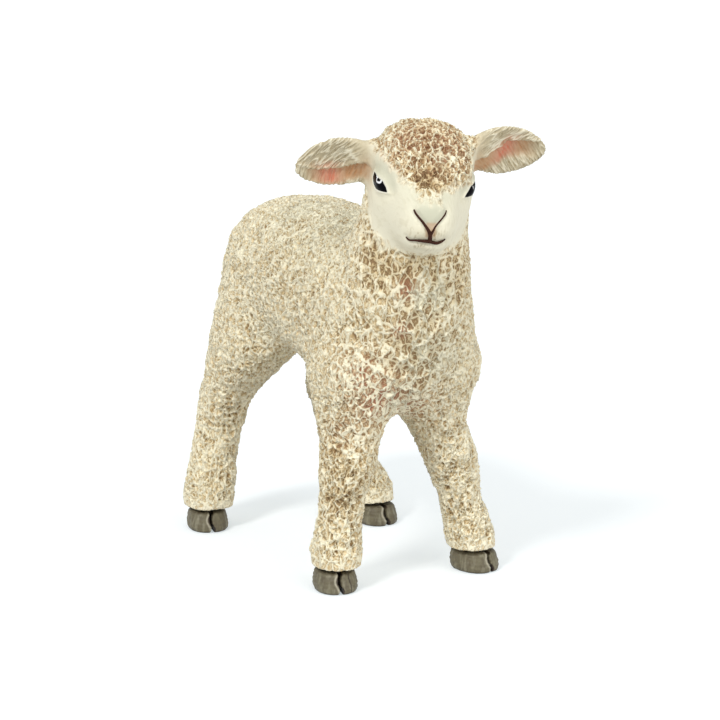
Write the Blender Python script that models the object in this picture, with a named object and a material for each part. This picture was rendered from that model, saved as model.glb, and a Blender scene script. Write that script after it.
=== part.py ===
"""Toy lamb figure: a solid moulded farm animal in fifteen pieces that plug together.

The lamb faces -Y, its left side is +X and it stands on Z = 0. Its body and legs are one
fair skin parted at flat seams, and each piece carries a plug or the socket that takes one,
so that all of them keep one clearance.
"""

import math

import bmesh
import bpy
from mathutils import Matrix, Vector
from mathutils.bvhtree import BVHTree

# Clearances and overruns
SEAM_GAP = 0.0003
CUT_OVERRUN = 0.05
PLUG_ROOT = 0.0012

# Skins: the cell size that lofted shapes are fused at, and how often they are faired
BODY_CELL = 0.0013
HEAD_CELL = 0.00085
BODY_FAIRING = 4
HEAD_FAIRING = 3
FAIRING_SHARE = 0.5

# Below 1 a lofted ring is fuller than an ellipse, towards a rounded box
BODY_FULLNESS = 0.88
HEAD_FULLNESS = 0.76
SHARP_EDGE = math.radians(45)

# Trunk. The chest sways to the lamb's right, where the head looks
BODY_LENGTH = 0.0376
BODY_WIDTH = 0.0154
BACK_HEIGHT = 0.0366
BELLY_HEIGHT = 0.0182
CHEST_REACH = 0.0122
CHEST_SWAY = 0.0011
TRUNK_SEGMENTS = 28
# Station from chest to rump, sway, bottom and top over the trunk's depth, half width over its width
TRUNK_RING_SHARES = (
    (0.00, 1.0, 0.40, 0.62, 0.17),
    (0.03, 1.0, 0.20, 0.76, 0.31),
    (0.08, 1.0, 0.06, 0.86, 0.42),
    (0.16, 1.0, -0.01, 0.93, 0.485),
    (0.26, 0.9, -0.01, 0.95, 0.505),
    (0.40, 0.7, 0.05, 0.97, 0.500),
    (0.54, 0.4, 0.13, 0.99, 0.500),
    (0.68, 0.1, 0.16, 0.995, 0.500),
    (0.80, 0.0, 0.15, 0.975, 0.490),
    (0.90, 0.0, 0.18, 0.92, 0.440),
    (0.96, 0.0, 0.28, 0.83, 0.350),
    (1.00, 0.0, 0.42, 0.70, 0.190),
)

# Neck, from inside the chest to inside the skull
NECK_BASE_INSET = 0.0070
NECK_BASE_DROP = 0.0104
NECK_BASE_WIDTH = 0.0142
NECK_TOP_WIDTH = 0.0092
NECK_SEGMENTS = 24
# Way from base to top, then width and depth between the top width and the base width
NECK_RING_SHARES = (
    (0.00, 1.00, 0.95),
    (0.20, 0.90, 0.95),
    (0.42, 0.58, 0.80),
    (0.64, 0.24, 0.42),
    (0.84, 0.04, 0.14),
    (1.00, 0.00, -0.10),
)
NECK_SEAM_SHARE = 0.69
NECK_PLUG_RADIUS = 0.0022
NECK_PLUG_LENGTH = 0.0034

# Head, turned to the lamb's right with the nose a little down. Its middle is between the cheeks
HEAD_SIDE = -0.0022
HEAD_FORWARD = 0.0118
HEAD_HEIGHT = 0.0420
HEAD_TURN = math.radians(-23)
HEAD_NOD = math.radians(15)
HEAD_LEAN = math.radians(4)
HEAD_SEGMENTS = 28
CRANIUM_LENGTH = 0.0110
CRANIUM_WIDTH = 0.0100
CRANIUM_DEPTH = 0.0112
# Station from poll to brow, bottom and top over the depth, then half width over the width
CRANIUM_RING_SHARES = (
    (0.00, -0.16, 0.10, 0.14),
    (0.07, -0.34, 0.28, 0.33),
    (0.20, -0.48, 0.43, 0.45),
    (0.38, -0.54, 0.49, 0.500),
    (0.58, -0.56, 0.49, 0.500),
    (0.76, -0.54, 0.42, 0.460),
    (0.90, -0.46, 0.29, 0.370),
    (1.00, -0.30, 0.10, 0.200),
)
MUZZLE_BASE_FORWARD = 0.0010
MUZZLE_LENGTH = 0.0077
MUZZLE_WIDTH = 0.0062
MUZZLE_DEPTH = 0.0066
# Way from the cheeks to the nose, bottom and top over the depth, then half width over the width
MUZZLE_RING_SHARES = (
    (0.00, -0.80, 0.62, 0.62),
    (0.28, -0.82, 0.50, 0.58),
    (0.52, -0.82, 0.34, 0.52),
    (0.72, -0.80, 0.19, 0.47),
    (0.88, -0.74, 0.07, 0.42),
    (0.97, -0.62, -0.01, 0.35),
    (1.00, -0.50, -0.10, 0.24),
)

# Ears. The root of each is an oval tab that fits into the head
EAR_LENGTH = 0.0101
EAR_WIDTH = 0.0058
EAR_THICKNESS = 0.0011
EAR_CUP = 0.0010
EAR_TAB = 0.0024
EAR_BACK = 0.0014
EAR_DROPS = {"left": 0.0034, "right": 0.0038}
EAR_DROOPS = {"left": math.radians(-2), "right": math.radians(14.5)}
EAR_SWEEP = math.radians(8)
EAR_TWIST = math.radians(115)
EAR_SEGMENTS = 14
# Way from root to tip, then half width over the ear's width, and thickness and cup over theirs
EAR_RING_SHARES = (
    (0.00, 0.18, 1.40, 0.00),
    (0.14, 0.22, 1.60, 0.00),
    (0.26, 0.34, 1.70, 0.00),
    (0.38, 0.44, 1.40, 0.35),
    (0.50, 0.50, 1.00, 0.90),
    (0.63, 0.50, 0.85, 1.00),
    (0.77, 0.43, 0.80, 0.85),
    (0.89, 0.31, 0.75, 0.50),
    (0.96, 0.19, 0.70, 0.25),
    (1.00, 0.08, 0.60, 0.10),
)

# Eyes: almond beads, each in a socket of its own shape
EYE_LENGTH = 0.0026
EYE_WIDTH = 0.0015
EYE_BULGE = 0.0005
EYE_SINK = 0.0001
EYE_FORWARD = 0.0032
EYE_RISE = 0.0003
EYE_TURN = math.radians(62)
EYE_SLANT = math.radians(30)
EYE_POINT_SHARE = 0.5
EYE_SEGMENTS = 12
EYE_RINGS = 8

# Legs. Shoulders and hips are inside the trunk, and each foot has its own place on the ground
LEG_SEAM_DROP = 0.0024
SHOULDER_INSET = 0.0076
SHOULDER_SPREAD = 0.0098
SHOULDER_DROP = 0.0096
HIP_INSET = 0.0076
HIP_SPREAD = 0.0092
HIP_DROP = 0.0066
LEG_WIDTH = 0.0052
LEG_SEGMENTS = 20
FRONT_LEFT_FOOT_OUT = 0.0085
FRONT_LEFT_FOOT_FORWARD = 0.0042
FRONT_RIGHT_FOOT_OUT = 0.0073
FRONT_RIGHT_FOOT_FORWARD = 0.0037
REAR_LEFT_FOOT_OUT = 0.0084
REAR_LEFT_FOOT_BACK = 0.0162
REAR_RIGHT_FOOT_OUT = 0.0086
REAR_RIGHT_FOOT_BACK = 0.0228
FEET = {
    "front_left": (FRONT_LEFT_FOOT_OUT, -FRONT_LEFT_FOOT_FORWARD),
    "front_right": (-FRONT_RIGHT_FOOT_OUT, -FRONT_RIGHT_FOOT_FORWARD),
    "rear_left": (REAR_LEFT_FOOT_OUT, REAR_LEFT_FOOT_BACK),
    "rear_right": (-REAR_RIGHT_FOOT_OUT, REAR_RIGHT_FOOT_BACK),
}
# How far each knee stands forward, or each hock back, of the line from shoulder or hip to foot
LEFT_KNEE_BEND = 0.0004
RIGHT_KNEE_BEND = 0.0007
LEFT_HOCK_BEND = 0.0054
RIGHT_HOCK_BEND = 0.0010
BENDS = {
    "front_left": -LEFT_KNEE_BEND,
    "front_right": -RIGHT_KNEE_BEND,
    "rear_left": LEFT_HOCK_BEND,
    "rear_right": RIGHT_HOCK_BEND,
}
# Way down to the foot, across and aft to it, bend, then half width and half length over the leg's width
FRONT_LEG_SHARES = (
    (0.00, 0.00, 0.00, 0.0, 0.50, 0.95),
    (0.19, 0.03, 0.05, 0.0, 0.69, 1.10),
    (0.30, -0.15, 0.15, 0.0, 0.66, 0.92),
    (0.37, -0.09, 0.25, 0.0, 0.59, 0.74),
    (0.44, 0.06, 0.38, 0.4, 0.54, 0.62),
    (0.51, 0.27, 0.50, 1.0, 0.53, 0.59),
    (0.57, 0.37, 0.58, 0.9, 0.51, 0.57),
    (0.63, 0.50, 0.66, 0.3, 0.45, 0.47),
    (0.70, 0.62, 0.76, 0.0, 0.42, 0.44),
    (0.78, 0.76, 0.86, 0.0, 0.44, 0.46),
    (0.85, 0.88, 0.94, 0.2, 0.49, 0.52),
    (1.00, 1.00, 1.00, 0.3, 0.52, 0.56),
)
REAR_LEG_SHARES = (
    (0.00, 0.00, 0.00, 0.0, 0.50, 0.95),
    (0.19, 0.06, 0.04, -0.3, 0.66, 1.27),
    (0.33, 0.14, 0.22, -0.1, 0.72, 1.16),
    (0.42, 0.24, 0.46, 0.3, 0.64, 0.84),
    (0.48, 0.36, 0.72, 0.8, 0.55, 0.71),
    (0.55, 0.46, 0.82, 1.0, 0.50, 0.60),
    (0.63, 0.55, 0.90, 1.0, 0.45, 0.54),
    (0.70, 0.62, 0.95, 0.9, 0.44, 0.53),
    (0.78, 0.77, 0.98, 0.6, 0.48, 0.55),
    (0.82, 0.83, 1.00, 0.40, 0.50, 0.57),
    (0.86, 0.90, 1.00, 0.22, 0.52, 0.59),
    (1.00, 1.00, 1.00, 0.0, 0.54, 0.60),
)
LEG_PLUG_RADIUS = 0.0013
LEG_PLUG_LENGTH = 0.0030

# Hooves
HOOF_HEIGHT = 0.0021
HOOF_WIDTH = 0.0043
HOOF_LENGTH = 0.0052
HOOF_TOE = 0.0003
HOOF_EDGE = 0.0003
HOOF_SEGMENTS = 16
CLEFT_WIDTH = 0.0004
CLEFT_LENGTH = 0.0021
HOOF_PLUG_RADIUS = 0.0009
HOOF_PLUG_LENGTH = 0.0016
# Way up the hoof, size over its outline, and how far the toe is drawn forward
HOOF_RING_SHARES = (
    (0.00, 1.00, 1.0),
    (0.45, 0.99, 0.6),
    (1.00, 0.90, 0.0),
)
HOOF_TURNS = {
    "front_left": math.radians(12),
    "front_right": math.radians(-15),
    "rear_left": math.radians(2),
    "rear_right": math.radians(-14),
}

# Tail. Its root is a round tab that fits into the rump
TAIL_LENGTH = 0.0122
TAIL_WIDTH = 0.0040
TAIL_ROOT_DROP = 0.0054
TAIL_TAB = 0.0030
TAIL_STANDOFF = 0.0012
TAIL_SEGMENTS = 14
# How far each ring is out of the rump and down the length, then half width over the width
TAIL_RING_SHARES = (
    (0.00, -0.02, 0.26),
    (0.32, -0.02, 0.30),
    (0.62, 0.00, 0.37),
    (0.86, 0.06, 0.44),
    (0.99, 0.18, 0.48),
    (1.02, 0.34, 0.50),
    (0.98, 0.54, 0.50),
    (0.92, 0.74, 0.46),
    (0.86, 0.90, 0.36),
    (0.83, 1.00, 0.18),
)

KEY_SIDES = 6
FINISHES = {
    "fleece": ((0.80, 0.70, 0.52), 0.75),
    "face": ((0.84, 0.79, 0.66), 0.60),
    "ear": ((0.82, 0.74, 0.60), 0.65),
    "hoof": ((0.30, 0.28, 0.22), 0.55),
    "eye": ((0.01, 0.01, 0.01), 0.12),
}


def clear_scene():
    for old in list(bpy.data.objects):
        bpy.data.objects.remove(old)


def finish_material(name):
    colour, roughness = FINISHES[name]
    material = bpy.data.materials.get(name) or bpy.data.materials.new(name)
    material.use_nodes = True
    shader = material.node_tree.nodes["Principled BSDF"]
    shader.inputs["Base Color"].default_value = (*colour, 1)
    shader.inputs["Roughness"].default_value = roughness
    return material


def new_object(name, shape):
    """Makes an object from a filled bmesh, with its faces pointing out."""
    mesh = bpy.data.meshes.new(name)
    bmesh.ops.recalc_face_normals(shape, faces=shape.faces)
    shape.to_mesh(mesh)
    shape.free()
    made = bpy.data.objects.new(name, mesh)
    bpy.context.scene.collection.objects.link(made)
    return made


def copy_of(piece, name):
    twin = piece.copy()
    twin.data = piece.data.copy()
    twin.name = name
    bpy.context.scene.collection.objects.link(twin)
    return twin


def settle(piece):
    """Turns the modifiers and the transform of a piece into its mesh."""
    bpy.context.view_layer.update()
    graph = bpy.context.evaluated_depsgraph_get()
    mesh = bpy.data.meshes.new_from_object(piece.evaluated_get(graph))
    mesh.transform(piece.matrix_world)
    piece.modifiers.clear()
    piece.data = mesh
    piece.matrix_world = Matrix.Identity(4)
    return piece


def combine(piece, operation, other):
    """Joins the other to the piece, cuts it away or keeps what they share, and uses it up."""
    step = piece.modifiers.new(operation, "BOOLEAN")
    step.operation = operation
    step.object = other
    # The exact solver leaves stray edges where a flat seam crosses a fine skin
    step.solver = "MANIFOLD"
    settle(piece)
    bpy.data.objects.remove(other)
    return piece


def loft(name, rings, segments, fullness=BODY_FULLNESS):
    """Bridges closed rings. Each is (centre, side vector, up vector, cup vector)."""
    shape = bmesh.new()
    loops = []
    for index, (centre, side, up, cup) in enumerate(rings):
        ends = index in (0, len(rings) - 1)
        made = bmesh.ops.create_circle(shape, cap_ends=ends, segments=segments, radius=1)["verts"]
        edges = {edge for vertex in made for edge in vertex.link_edges}
        for vertex in made:
            across, along = (math.copysign(abs(way) ** fullness, way) for way in vertex.co.xy)
            vertex.co = centre + side * across + up * along + cup * (1 - across * across)
        loops.append(edges)
    for first, second in zip(loops, loops[1:]):
        bmesh.ops.bridge_loops(shape, edges=list(first | second))
    return new_object(name, shape)


def fuse(name, shapes, cell, fairing):
    """One fair skin over overlapping shapes, which it uses up."""
    shape = bmesh.new()
    for other in shapes:
        shape.from_mesh(other.data)
        bpy.data.objects.remove(other)
    mesh = bpy.data.meshes.new(name)
    shape.to_mesh(mesh)
    shape.free()
    skin = bpy.data.objects.new(name, mesh)
    bpy.context.scene.collection.objects.link(skin)
    remesh = skin.modifiers.new("skin", "REMESH")
    remesh.mode = "VOXEL"
    remesh.voxel_size = cell
    smooth = skin.modifiers.new("fair", "SMOOTH")
    smooth.factor = FAIRING_SHARE
    smooth.iterations = fairing
    return settle(skin)


def skin_point(skin, start, direction):
    """Where a line from inside a skin comes out of it."""
    places = [vertex.co for vertex in skin.data.vertices]
    faces = [face.vertices for face in skin.data.polygons]
    return BVHTree.FromPolygons(places, faces).ray_cast(start, direction)[0]


def half_space(name, frame):
    """A block that fills the +Z side of a frame."""
    shape = bmesh.new()
    bmesh.ops.create_cube(shape, size=2 * CUT_OVERRUN)
    bmesh.ops.translate(shape, verts=shape.verts, vec=(0, 0, CUT_OVERRUN))
    bmesh.ops.transform(shape, verts=shape.verts, matrix=frame)
    return new_object(name, shape)


def key(name, frame, radius, length):
    """A plug along a frame's +Z, from its root below the seam to its end."""
    shape = bmesh.new()
    bmesh.ops.create_cone(
        shape,
        cap_ends=True,
        segments=KEY_SIDES,
        radius1=radius,
        radius2=radius,
        depth=length + PLUG_ROOT,
    )
    bmesh.ops.translate(shape, verts=shape.verts, vec=(0, 0, (length - PLUG_ROOT) / 2))
    bmesh.ops.transform(shape, verts=shape.verts, matrix=frame)
    return new_object(name, shape)


def socket(name, frame, radius, length):
    """The hole for a key, one clearance larger all round."""
    wider = SEAM_GAP / math.cos(math.pi / KEY_SIDES)
    return key(name, frame, radius + wider, length + SEAM_GAP)


def between(low, high, share):
    return low + (high - low) * share


def facing_down(frame):
    return frame @ Matrix.Rotation(math.pi, 4, "X")


def trunk():
    depth = BACK_HEIGHT - BELLY_HEIGHT
    rings = []
    for station, sway, bottom, top, half_width in TRUNK_RING_SHARES:
        low = BELLY_HEIGHT + depth * bottom
        high = BELLY_HEIGHT + depth * top
        centre = Vector(
            (-CHEST_SWAY * sway, BODY_LENGTH * station - CHEST_REACH, (low + high) / 2)
        )
        side = Vector((BODY_WIDTH * half_width, 0, 0))
        rings.append((centre, side, Vector((0, 0, (high - low) / 2)), Vector()))
    return loft("trunk", rings, TRUNK_SEGMENTS)


def head_frame():
    """Between the cheeks, with -Y to the nose and +Z to the crown."""
    place = Matrix.Translation((HEAD_SIDE, -HEAD_FORWARD, HEAD_HEIGHT))
    turn = Matrix.Rotation(HEAD_TURN, 4, "Z")
    lean = Matrix.Rotation(HEAD_LEAN, 4, "Y")
    nod = Matrix.Rotation(HEAD_NOD, 4, "X")
    return place @ turn @ lean @ nod


def neck_line():
    base = Vector((-CHEST_SWAY, NECK_BASE_INSET - CHEST_REACH, BACK_HEIGHT - NECK_BASE_DROP))
    top = head_frame().translation
    return base, top


def neck():
    base, top = neck_line()
    along = (top - base).normalized()
    side = Vector((0, 0, 1)).cross(along).normalized()
    side = Matrix.Rotation(HEAD_TURN / 2, 3, along) @ side
    up = along.cross(side)
    rings = []
    for way, width, depth in NECK_RING_SHARES:
        half_width = between(NECK_TOP_WIDTH, NECK_BASE_WIDTH, width) / 2
        half_depth = between(NECK_TOP_WIDTH, NECK_BASE_WIDTH, depth) / 2
        rings.append((base.lerp(top, way), side * half_width, up * half_depth, Vector()))
    return loft("neck", rings, NECK_SEGMENTS)


def neck_seam():
    """On the seam across the neck, with +Z towards the head."""
    base, top = neck_line()
    along = (top - base).normalized()
    place = base.lerp(top, NECK_SEAM_SHARE)
    return Matrix.Translation(place) @ along.to_track_quat("Z", "Y").to_matrix().to_4x4()


def head_loft(name, back, length, width, depth, shares):
    """A loft along the head, from a place behind its middle towards the nose."""
    rings = []
    for station, bottom, top, half_width in shares:
        centre = Vector((0, back - length * station, depth * (bottom + top) / 2))
        side = Vector((width * half_width, 0, 0))
        rings.append((centre, side, Vector((0, 0, depth * (top - bottom) / 2)), Vector()))
    shape = loft(name, rings, HEAD_SEGMENTS, HEAD_FULLNESS)
    shape.matrix_world = head_frame()
    return settle(shape)


def head_skin():
    cranium = head_loft(
        "cranium",
        CRANIUM_LENGTH / 2,
        CRANIUM_LENGTH,
        CRANIUM_WIDTH,
        CRANIUM_DEPTH,
        CRANIUM_RING_SHARES,
    )
    muzzle = head_loft(
        "muzzle",
        -MUZZLE_BASE_FORWARD,
        MUZZLE_LENGTH,
        MUZZLE_WIDTH,
        MUZZLE_DEPTH,
        MUZZLE_RING_SHARES,
    )
    return fuse("head_skin", [cranium, muzzle, neck()], HEAD_CELL, HEAD_FAIRING)


def leg_plan():
    """Each leg's shoulder or hip, foot, ring table and bend, by name."""
    plan = {}
    for name, (across, along) in FEET.items():
        side = math.copysign(1, across)
        foot = Vector((across, along, 0))
        if name.startswith("front"):
            root = Vector(
                (
                    side * SHOULDER_SPREAD / 2 - CHEST_SWAY,
                    SHOULDER_INSET - CHEST_REACH,
                    BACK_HEIGHT - SHOULDER_DROP,
                )
            )
            shares = FRONT_LEG_SHARES
        else:
            rump = BODY_LENGTH - CHEST_REACH
            root = Vector((side * HIP_SPREAD / 2, rump - HIP_INSET, BACK_HEIGHT - HIP_DROP))
            shares = REAR_LEG_SHARES
        plan[name] = (root, foot, shares, BENDS[name])
    return plan


def leg_centre(root, foot, down, across, aft, bent, bend):
    return Vector(
        (
            between(root.x, foot.x, across),
            between(root.y, foot.y, aft) + bend * bent,
            between(root.z, foot.z, down),
        )
    )


def leg_centre_at(height, root, foot, shares, bend):
    """Where a leg's middle passes a height."""
    down = (root.z - height) / (root.z - foot.z)
    upper, lower = next(pair for pair in zip(shares, shares[1:]) if down <= pair[1][0])
    way = (down - upper[0]) / (lower[0] - upper[0])
    across, aft, bent = (between(upper[i], lower[i], way) for i in (1, 2, 3))
    return leg_centre(root, foot, down, across, aft, bent, bend)


def leg_shape(name, root, foot, shares, bend):
    """A leg from inside the trunk to the ground."""
    rings = []
    for down, across, aft, bent, half_width, half_length in shares:
        centre = leg_centre(root, foot, down, across, aft, bent, bend)
        wide = Vector((LEG_WIDTH * half_width, 0, 0))
        rings.append((centre, wide, Vector((0, LEG_WIDTH * half_length, 0)), Vector()))
    return loft(name, rings, LEG_SEGMENTS)


def leg_seam_height():
    return BELLY_HEIGHT - LEG_SEAM_DROP


def leg_box(name, foot, low, high):
    """A block round one leg between two heights: its quarter of the plan under the belly."""
    shape = bmesh.new()
    bmesh.ops.create_cube(shape, size=1)
    bmesh.ops.scale(shape, verts=shape.verts, vec=(CUT_OVERRUN, CUT_OVERRUN, high - low))
    reach = (CUT_OVERRUN + SEAM_GAP) / 2
    midway = (REAR_LEFT_FOOT_BACK - FRONT_LEFT_FOOT_FORWARD) / 2
    middle = Vector(
        (
            math.copysign(reach, foot.x) - CHEST_SWAY / 2,
            math.copysign(reach, foot.y - midway) + midway,
            (low + high) / 2,
        )
    )
    bmesh.ops.translate(shape, verts=shape.verts, vec=middle)
    return new_object(name, shape)


def body_skin():
    shapes = [trunk(), neck()]
    shapes += [leg_shape("leg_" + name, *plan) for name, plan in leg_plan().items()]
    return fuse("body_skin", shapes, BODY_CELL, BODY_FAIRING)


def make_torso(skin):
    """The body skin above the legs and below the head, with a socket for each neighbour."""
    torso = copy_of(skin, "torso")
    seam = neck_seam()
    combine(torso, "DIFFERENCE", half_space("head_side", seam))
    ground = Matrix.Translation((0, 0, leg_seam_height()))
    combine(torso, "DIFFERENCE", half_space("leg_side", facing_down(ground)))
    hole = socket("neck_socket", facing_down(seam), NECK_PLUG_RADIUS, NECK_PLUG_LENGTH)
    combine(torso, "DIFFERENCE", hole)
    for name, plan in leg_plan().items():
        place = Matrix.Translation(leg_centre_at(leg_seam_height(), *plan))
        hole = socket(name + "_socket", place, LEG_PLUG_RADIUS, LEG_PLUG_LENGTH)
        combine(torso, "DIFFERENCE", hole)
    return combine(torso, "DIFFERENCE", tail_loft("tail_socket", SEAM_GAP))


def make_leg(name, skin, plan):
    """The body skin between the seam and the hoof, with a plug above and a socket below."""
    leg = copy_of(skin, name + "_leg")
    top = leg_seam_height() - SEAM_GAP
    combine(leg, "INTERSECT", leg_box("quarter", plan[1], HOOF_HEIGHT + SEAM_GAP, top))
    seam = Matrix.Translation(leg_centre_at(top, *plan))
    combine(leg, "UNION", key("plug", seam, LEG_PLUG_RADIUS, LEG_PLUG_LENGTH + SEAM_GAP))
    hole = socket("hoof_socket", hoof_frame(name, plan), HOOF_PLUG_RADIUS, HOOF_PLUG_LENGTH)
    return combine(leg, "DIFFERENCE", hole)


def hoof_frame(name, plan):
    """Upright on the hoof's top face, turned with its toe."""
    foot = plan[1]
    place = Matrix.Translation((foot.x, foot.y, HOOF_HEIGHT))
    return place @ Matrix.Rotation(HOOF_TURNS[name], 4, "Z")


def make_hoof(name, plan):
    """A cloven hoof with a flat sole and a plug that goes up into the leg."""
    rings = []
    for up, size, toe in HOOF_RING_SHARES:
        centre = Vector((0, -HOOF_TOE * toe, HOOF_HEIGHT * (up - 1)))
        wide = Vector((HOOF_WIDTH / 2 * size, 0, 0))
        rings.append((centre, wide, Vector((0, HOOF_LENGTH / 2 * size, 0)), Vector()))
    hoof = loft(name + "_hoof", rings, HOOF_SEGMENTS)
    rounding = hoof.modifiers.new("worn edge", "BEVEL")
    rounding.width = HOOF_EDGE
    rounding.segments = 2
    rounding.limit_method = "ANGLE"
    settle(hoof)
    cleft = bmesh.new()
    bmesh.ops.create_cube(cleft, size=1)
    bmesh.ops.scale(cleft, verts=cleft.verts, vec=(CLEFT_WIDTH, CUT_OVERRUN, CUT_OVERRUN))
    inner_end = CLEFT_LENGTH - HOOF_LENGTH / 2 - HOOF_TOE
    bmesh.ops.translate(cleft, verts=cleft.verts, vec=(0, inner_end - CUT_OVERRUN / 2, 0))
    combine(hoof, "DIFFERENCE", new_object("cleft", cleft))
    combine(hoof, "UNION", key("plug", Matrix(), HOOF_PLUG_RADIUS, HOOF_PLUG_LENGTH))
    hoof.matrix_world = hoof_frame(name, plan)
    return settle(hoof)


def tail_loft(name, grow=0):
    """The tail, or with grow the socket that clears it."""
    back = BODY_LENGTH - CHEST_REACH - TAIL_TAB
    top = BACK_HEIGHT - TAIL_ROOT_DROP
    places = [
        Vector((0, back + (TAIL_TAB + TAIL_STANDOFF) * out, top - TAIL_LENGTH * down))
        for out, down, _ in TAIL_RING_SHARES
    ]
    rings = []
    for index, (_, _, half_width) in enumerate(TAIL_RING_SHARES):
        before = places[max(index - 1, 0)]
        after = places[min(index + 1, len(places) - 1)]
        along = (after - before).normalized()
        centre = places[index] - along * (0 if index else grow)
        radius = TAIL_WIDTH * half_width + grow
        side = Vector((1, 0, 0))
        rings.append((centre, side * radius, along.cross(side) * radius, Vector()))
    return loft(name, rings, TAIL_SEGMENTS)


def side_frame(skin, side, back, up):
    """Where a line out of the head's side leaves its skin, with +X out of it. Side 1 is the left."""
    frame = head_frame()
    start = frame @ Vector((0, back, up))
    place = skin_point(skin, start, frame.to_3x3() @ Vector((side, 0, 0)))
    return Matrix.Translation(place) @ frame.to_3x3().to_4x4() @ Matrix.Diagonal((side, 1, 1, 1))


def ear_frame(skin, side):
    """At the ear's root with +X along the ear and +Z out of its cupped face."""
    which = "left" if side > 0 else "right"
    level = Matrix.Rotation(-HEAD_NOD, 4, "X")
    sweep = Matrix.Rotation(EAR_SWEEP, 4, "Z")
    hang = Matrix.Rotation(EAR_DROOPS[which], 4, "Y")
    twist = Matrix.Rotation(EAR_TWIST, 4, "X")
    crown = CRANIUM_DEPTH * max(top for _, _, top, _ in CRANIUM_RING_SHARES)
    place = side_frame(skin, side, EAR_BACK, crown - EAR_DROPS[which])
    root = place @ Matrix.Translation((-EAR_TAB, 0, 0))
    return root @ level @ sweep @ hang @ twist


def ear_loft(name, skin, side, grow=0):
    """An ear, or with grow the socket that clears its root."""
    frame = ear_frame(skin, side)
    turn = frame.to_3x3()
    rings = []
    for way, half_width, thickness, cup in EAR_RING_SHARES:
        centre = frame @ Vector((EAR_LENGTH * way if way else -grow, 0, 0))
        wide = turn @ Vector((0, EAR_WIDTH * half_width + grow, 0))
        thick = turn @ Vector((0, 0, EAR_THICKNESS / 2 * thickness + grow))
        hollow = turn @ Vector((0, 0, -EAR_CUP * cup))
        rings.append((centre, wide, thick, hollow))
    return loft(name, rings, EAR_SEGMENTS)


def eye_frame(skin, side):
    """On the head's side with +Z out of the eye and +X along the almond."""
    outward = Matrix.Rotation(EYE_TURN, 4, "Z") @ Matrix.Rotation(math.pi / 2, 4, "X")
    slant = Matrix.Rotation(EYE_SLANT, 4, "Z")
    place = side_frame(skin, side, -EYE_FORWARD, EYE_RISE)
    return place @ outward @ slant @ Matrix.Translation((0, 0, -EYE_SINK))


def eye_bead(name, skin, side, grow=0):
    """An almond-edged bead, or with grow the socket that clears it."""
    shape = bmesh.new()
    bmesh.ops.create_uvsphere(shape, u_segments=EYE_SEGMENTS, v_segments=EYE_RINGS, radius=1)
    for vertex in shape.verts:
        x, y, z = vertex.co
        almond = 1 - EYE_POINT_SHARE * x * x
        across = y * (EYE_WIDTH / 2 * almond + grow)
        vertex.co = (x * (EYE_LENGTH / 2 + grow), across, z * (EYE_BULGE + grow))
    bmesh.ops.transform(shape, verts=shape.verts, matrix=eye_frame(skin, side))
    return new_object(name, shape)


def make_head(skin):
    """The head skin above the neck seam, with the neck plug and four sockets."""
    head = copy_of(skin, "head")
    seam = neck_seam() @ Matrix.Translation((0, 0, SEAM_GAP))
    combine(head, "DIFFERENCE", half_space("body_side", facing_down(seam)))
    plug_length = NECK_PLUG_LENGTH + SEAM_GAP
    combine(head, "UNION", key("plug", facing_down(seam), NECK_PLUG_RADIUS, plug_length))
    for side in (1, -1):
        combine(head, "DIFFERENCE", ear_loft("ear_socket", skin, side, SEAM_GAP))
        combine(head, "DIFFERENCE", eye_bead("eye_socket", skin, side, SEAM_GAP))
    return head


def finish(piece, finish_name):
    """Splits a piece's long faces, which could fold over themselves, and gives it its finish."""
    shape = bmesh.new()
    shape.from_mesh(piece.data)
    bmesh.ops.triangulate(shape, faces=shape.faces)
    shape.to_mesh(piece.data)
    shape.free()
    piece.data.materials.clear()
    piece.data.materials.append(finish_material(finish_name))
    piece.data.shade_smooth()
    piece.data.set_sharp_from_angle(angle=SHARP_EDGE)
    return piece


def centre_on_origin(pieces):
    """Stands the figure on an empty so that the middle of its box is over the origin."""
    corners = [vertex.co for piece in pieces for vertex in piece.data.vertices]
    low = Vector(min(co[axis] for co in corners) for axis in range(3))
    high = Vector(max(co[axis] for co in corners) for axis in range(3))
    stand = bpy.data.objects.new("stand_point", None)
    bpy.context.scene.collection.objects.link(stand)
    stand.location = (-(low.x + high.x) / 2, -(low.y + high.y) / 2, -low.z)
    for piece in pieces:
        piece.parent = stand


def main():
    clear_scene()
    body = body_skin()
    face = head_skin()
    pieces = [finish(make_torso(body), "fleece"), finish(tail_loft("tail"), "fleece")]
    for name, plan in leg_plan().items():
        pieces.append(finish(make_leg(name, body, plan), "fleece"))
        pieces.append(finish(make_hoof(name, plan), "hoof"))
    pieces.append(finish(make_head(face), "face"))
    for which, side in (("left", 1), ("right", -1)):
        pieces.append(finish(ear_loft(which + "_ear", face, side), "ear"))
        pieces.append(finish(eye_bead(which + "_eye", face, side), "eye"))
    bpy.data.objects.remove(body)
    bpy.data.objects.remove(face)
    centre_on_origin(pieces)


main()
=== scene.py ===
"""Dresses a toy lamb figure: a sculpted and painted coat, face, ears, eyes and cloven hooves.

The whole coat is one fair skin over the figure's solids. Its curls are raised on that skin as
crests round hollows, and it is then cut at flat seams into closed pieces, one or more for each
solid that they stand for.
"""

import math

import bmesh
import bpy
import numpy as np
from mathutils import Matrix, Vector
from mathutils.bvhtree import BVHTree


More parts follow.
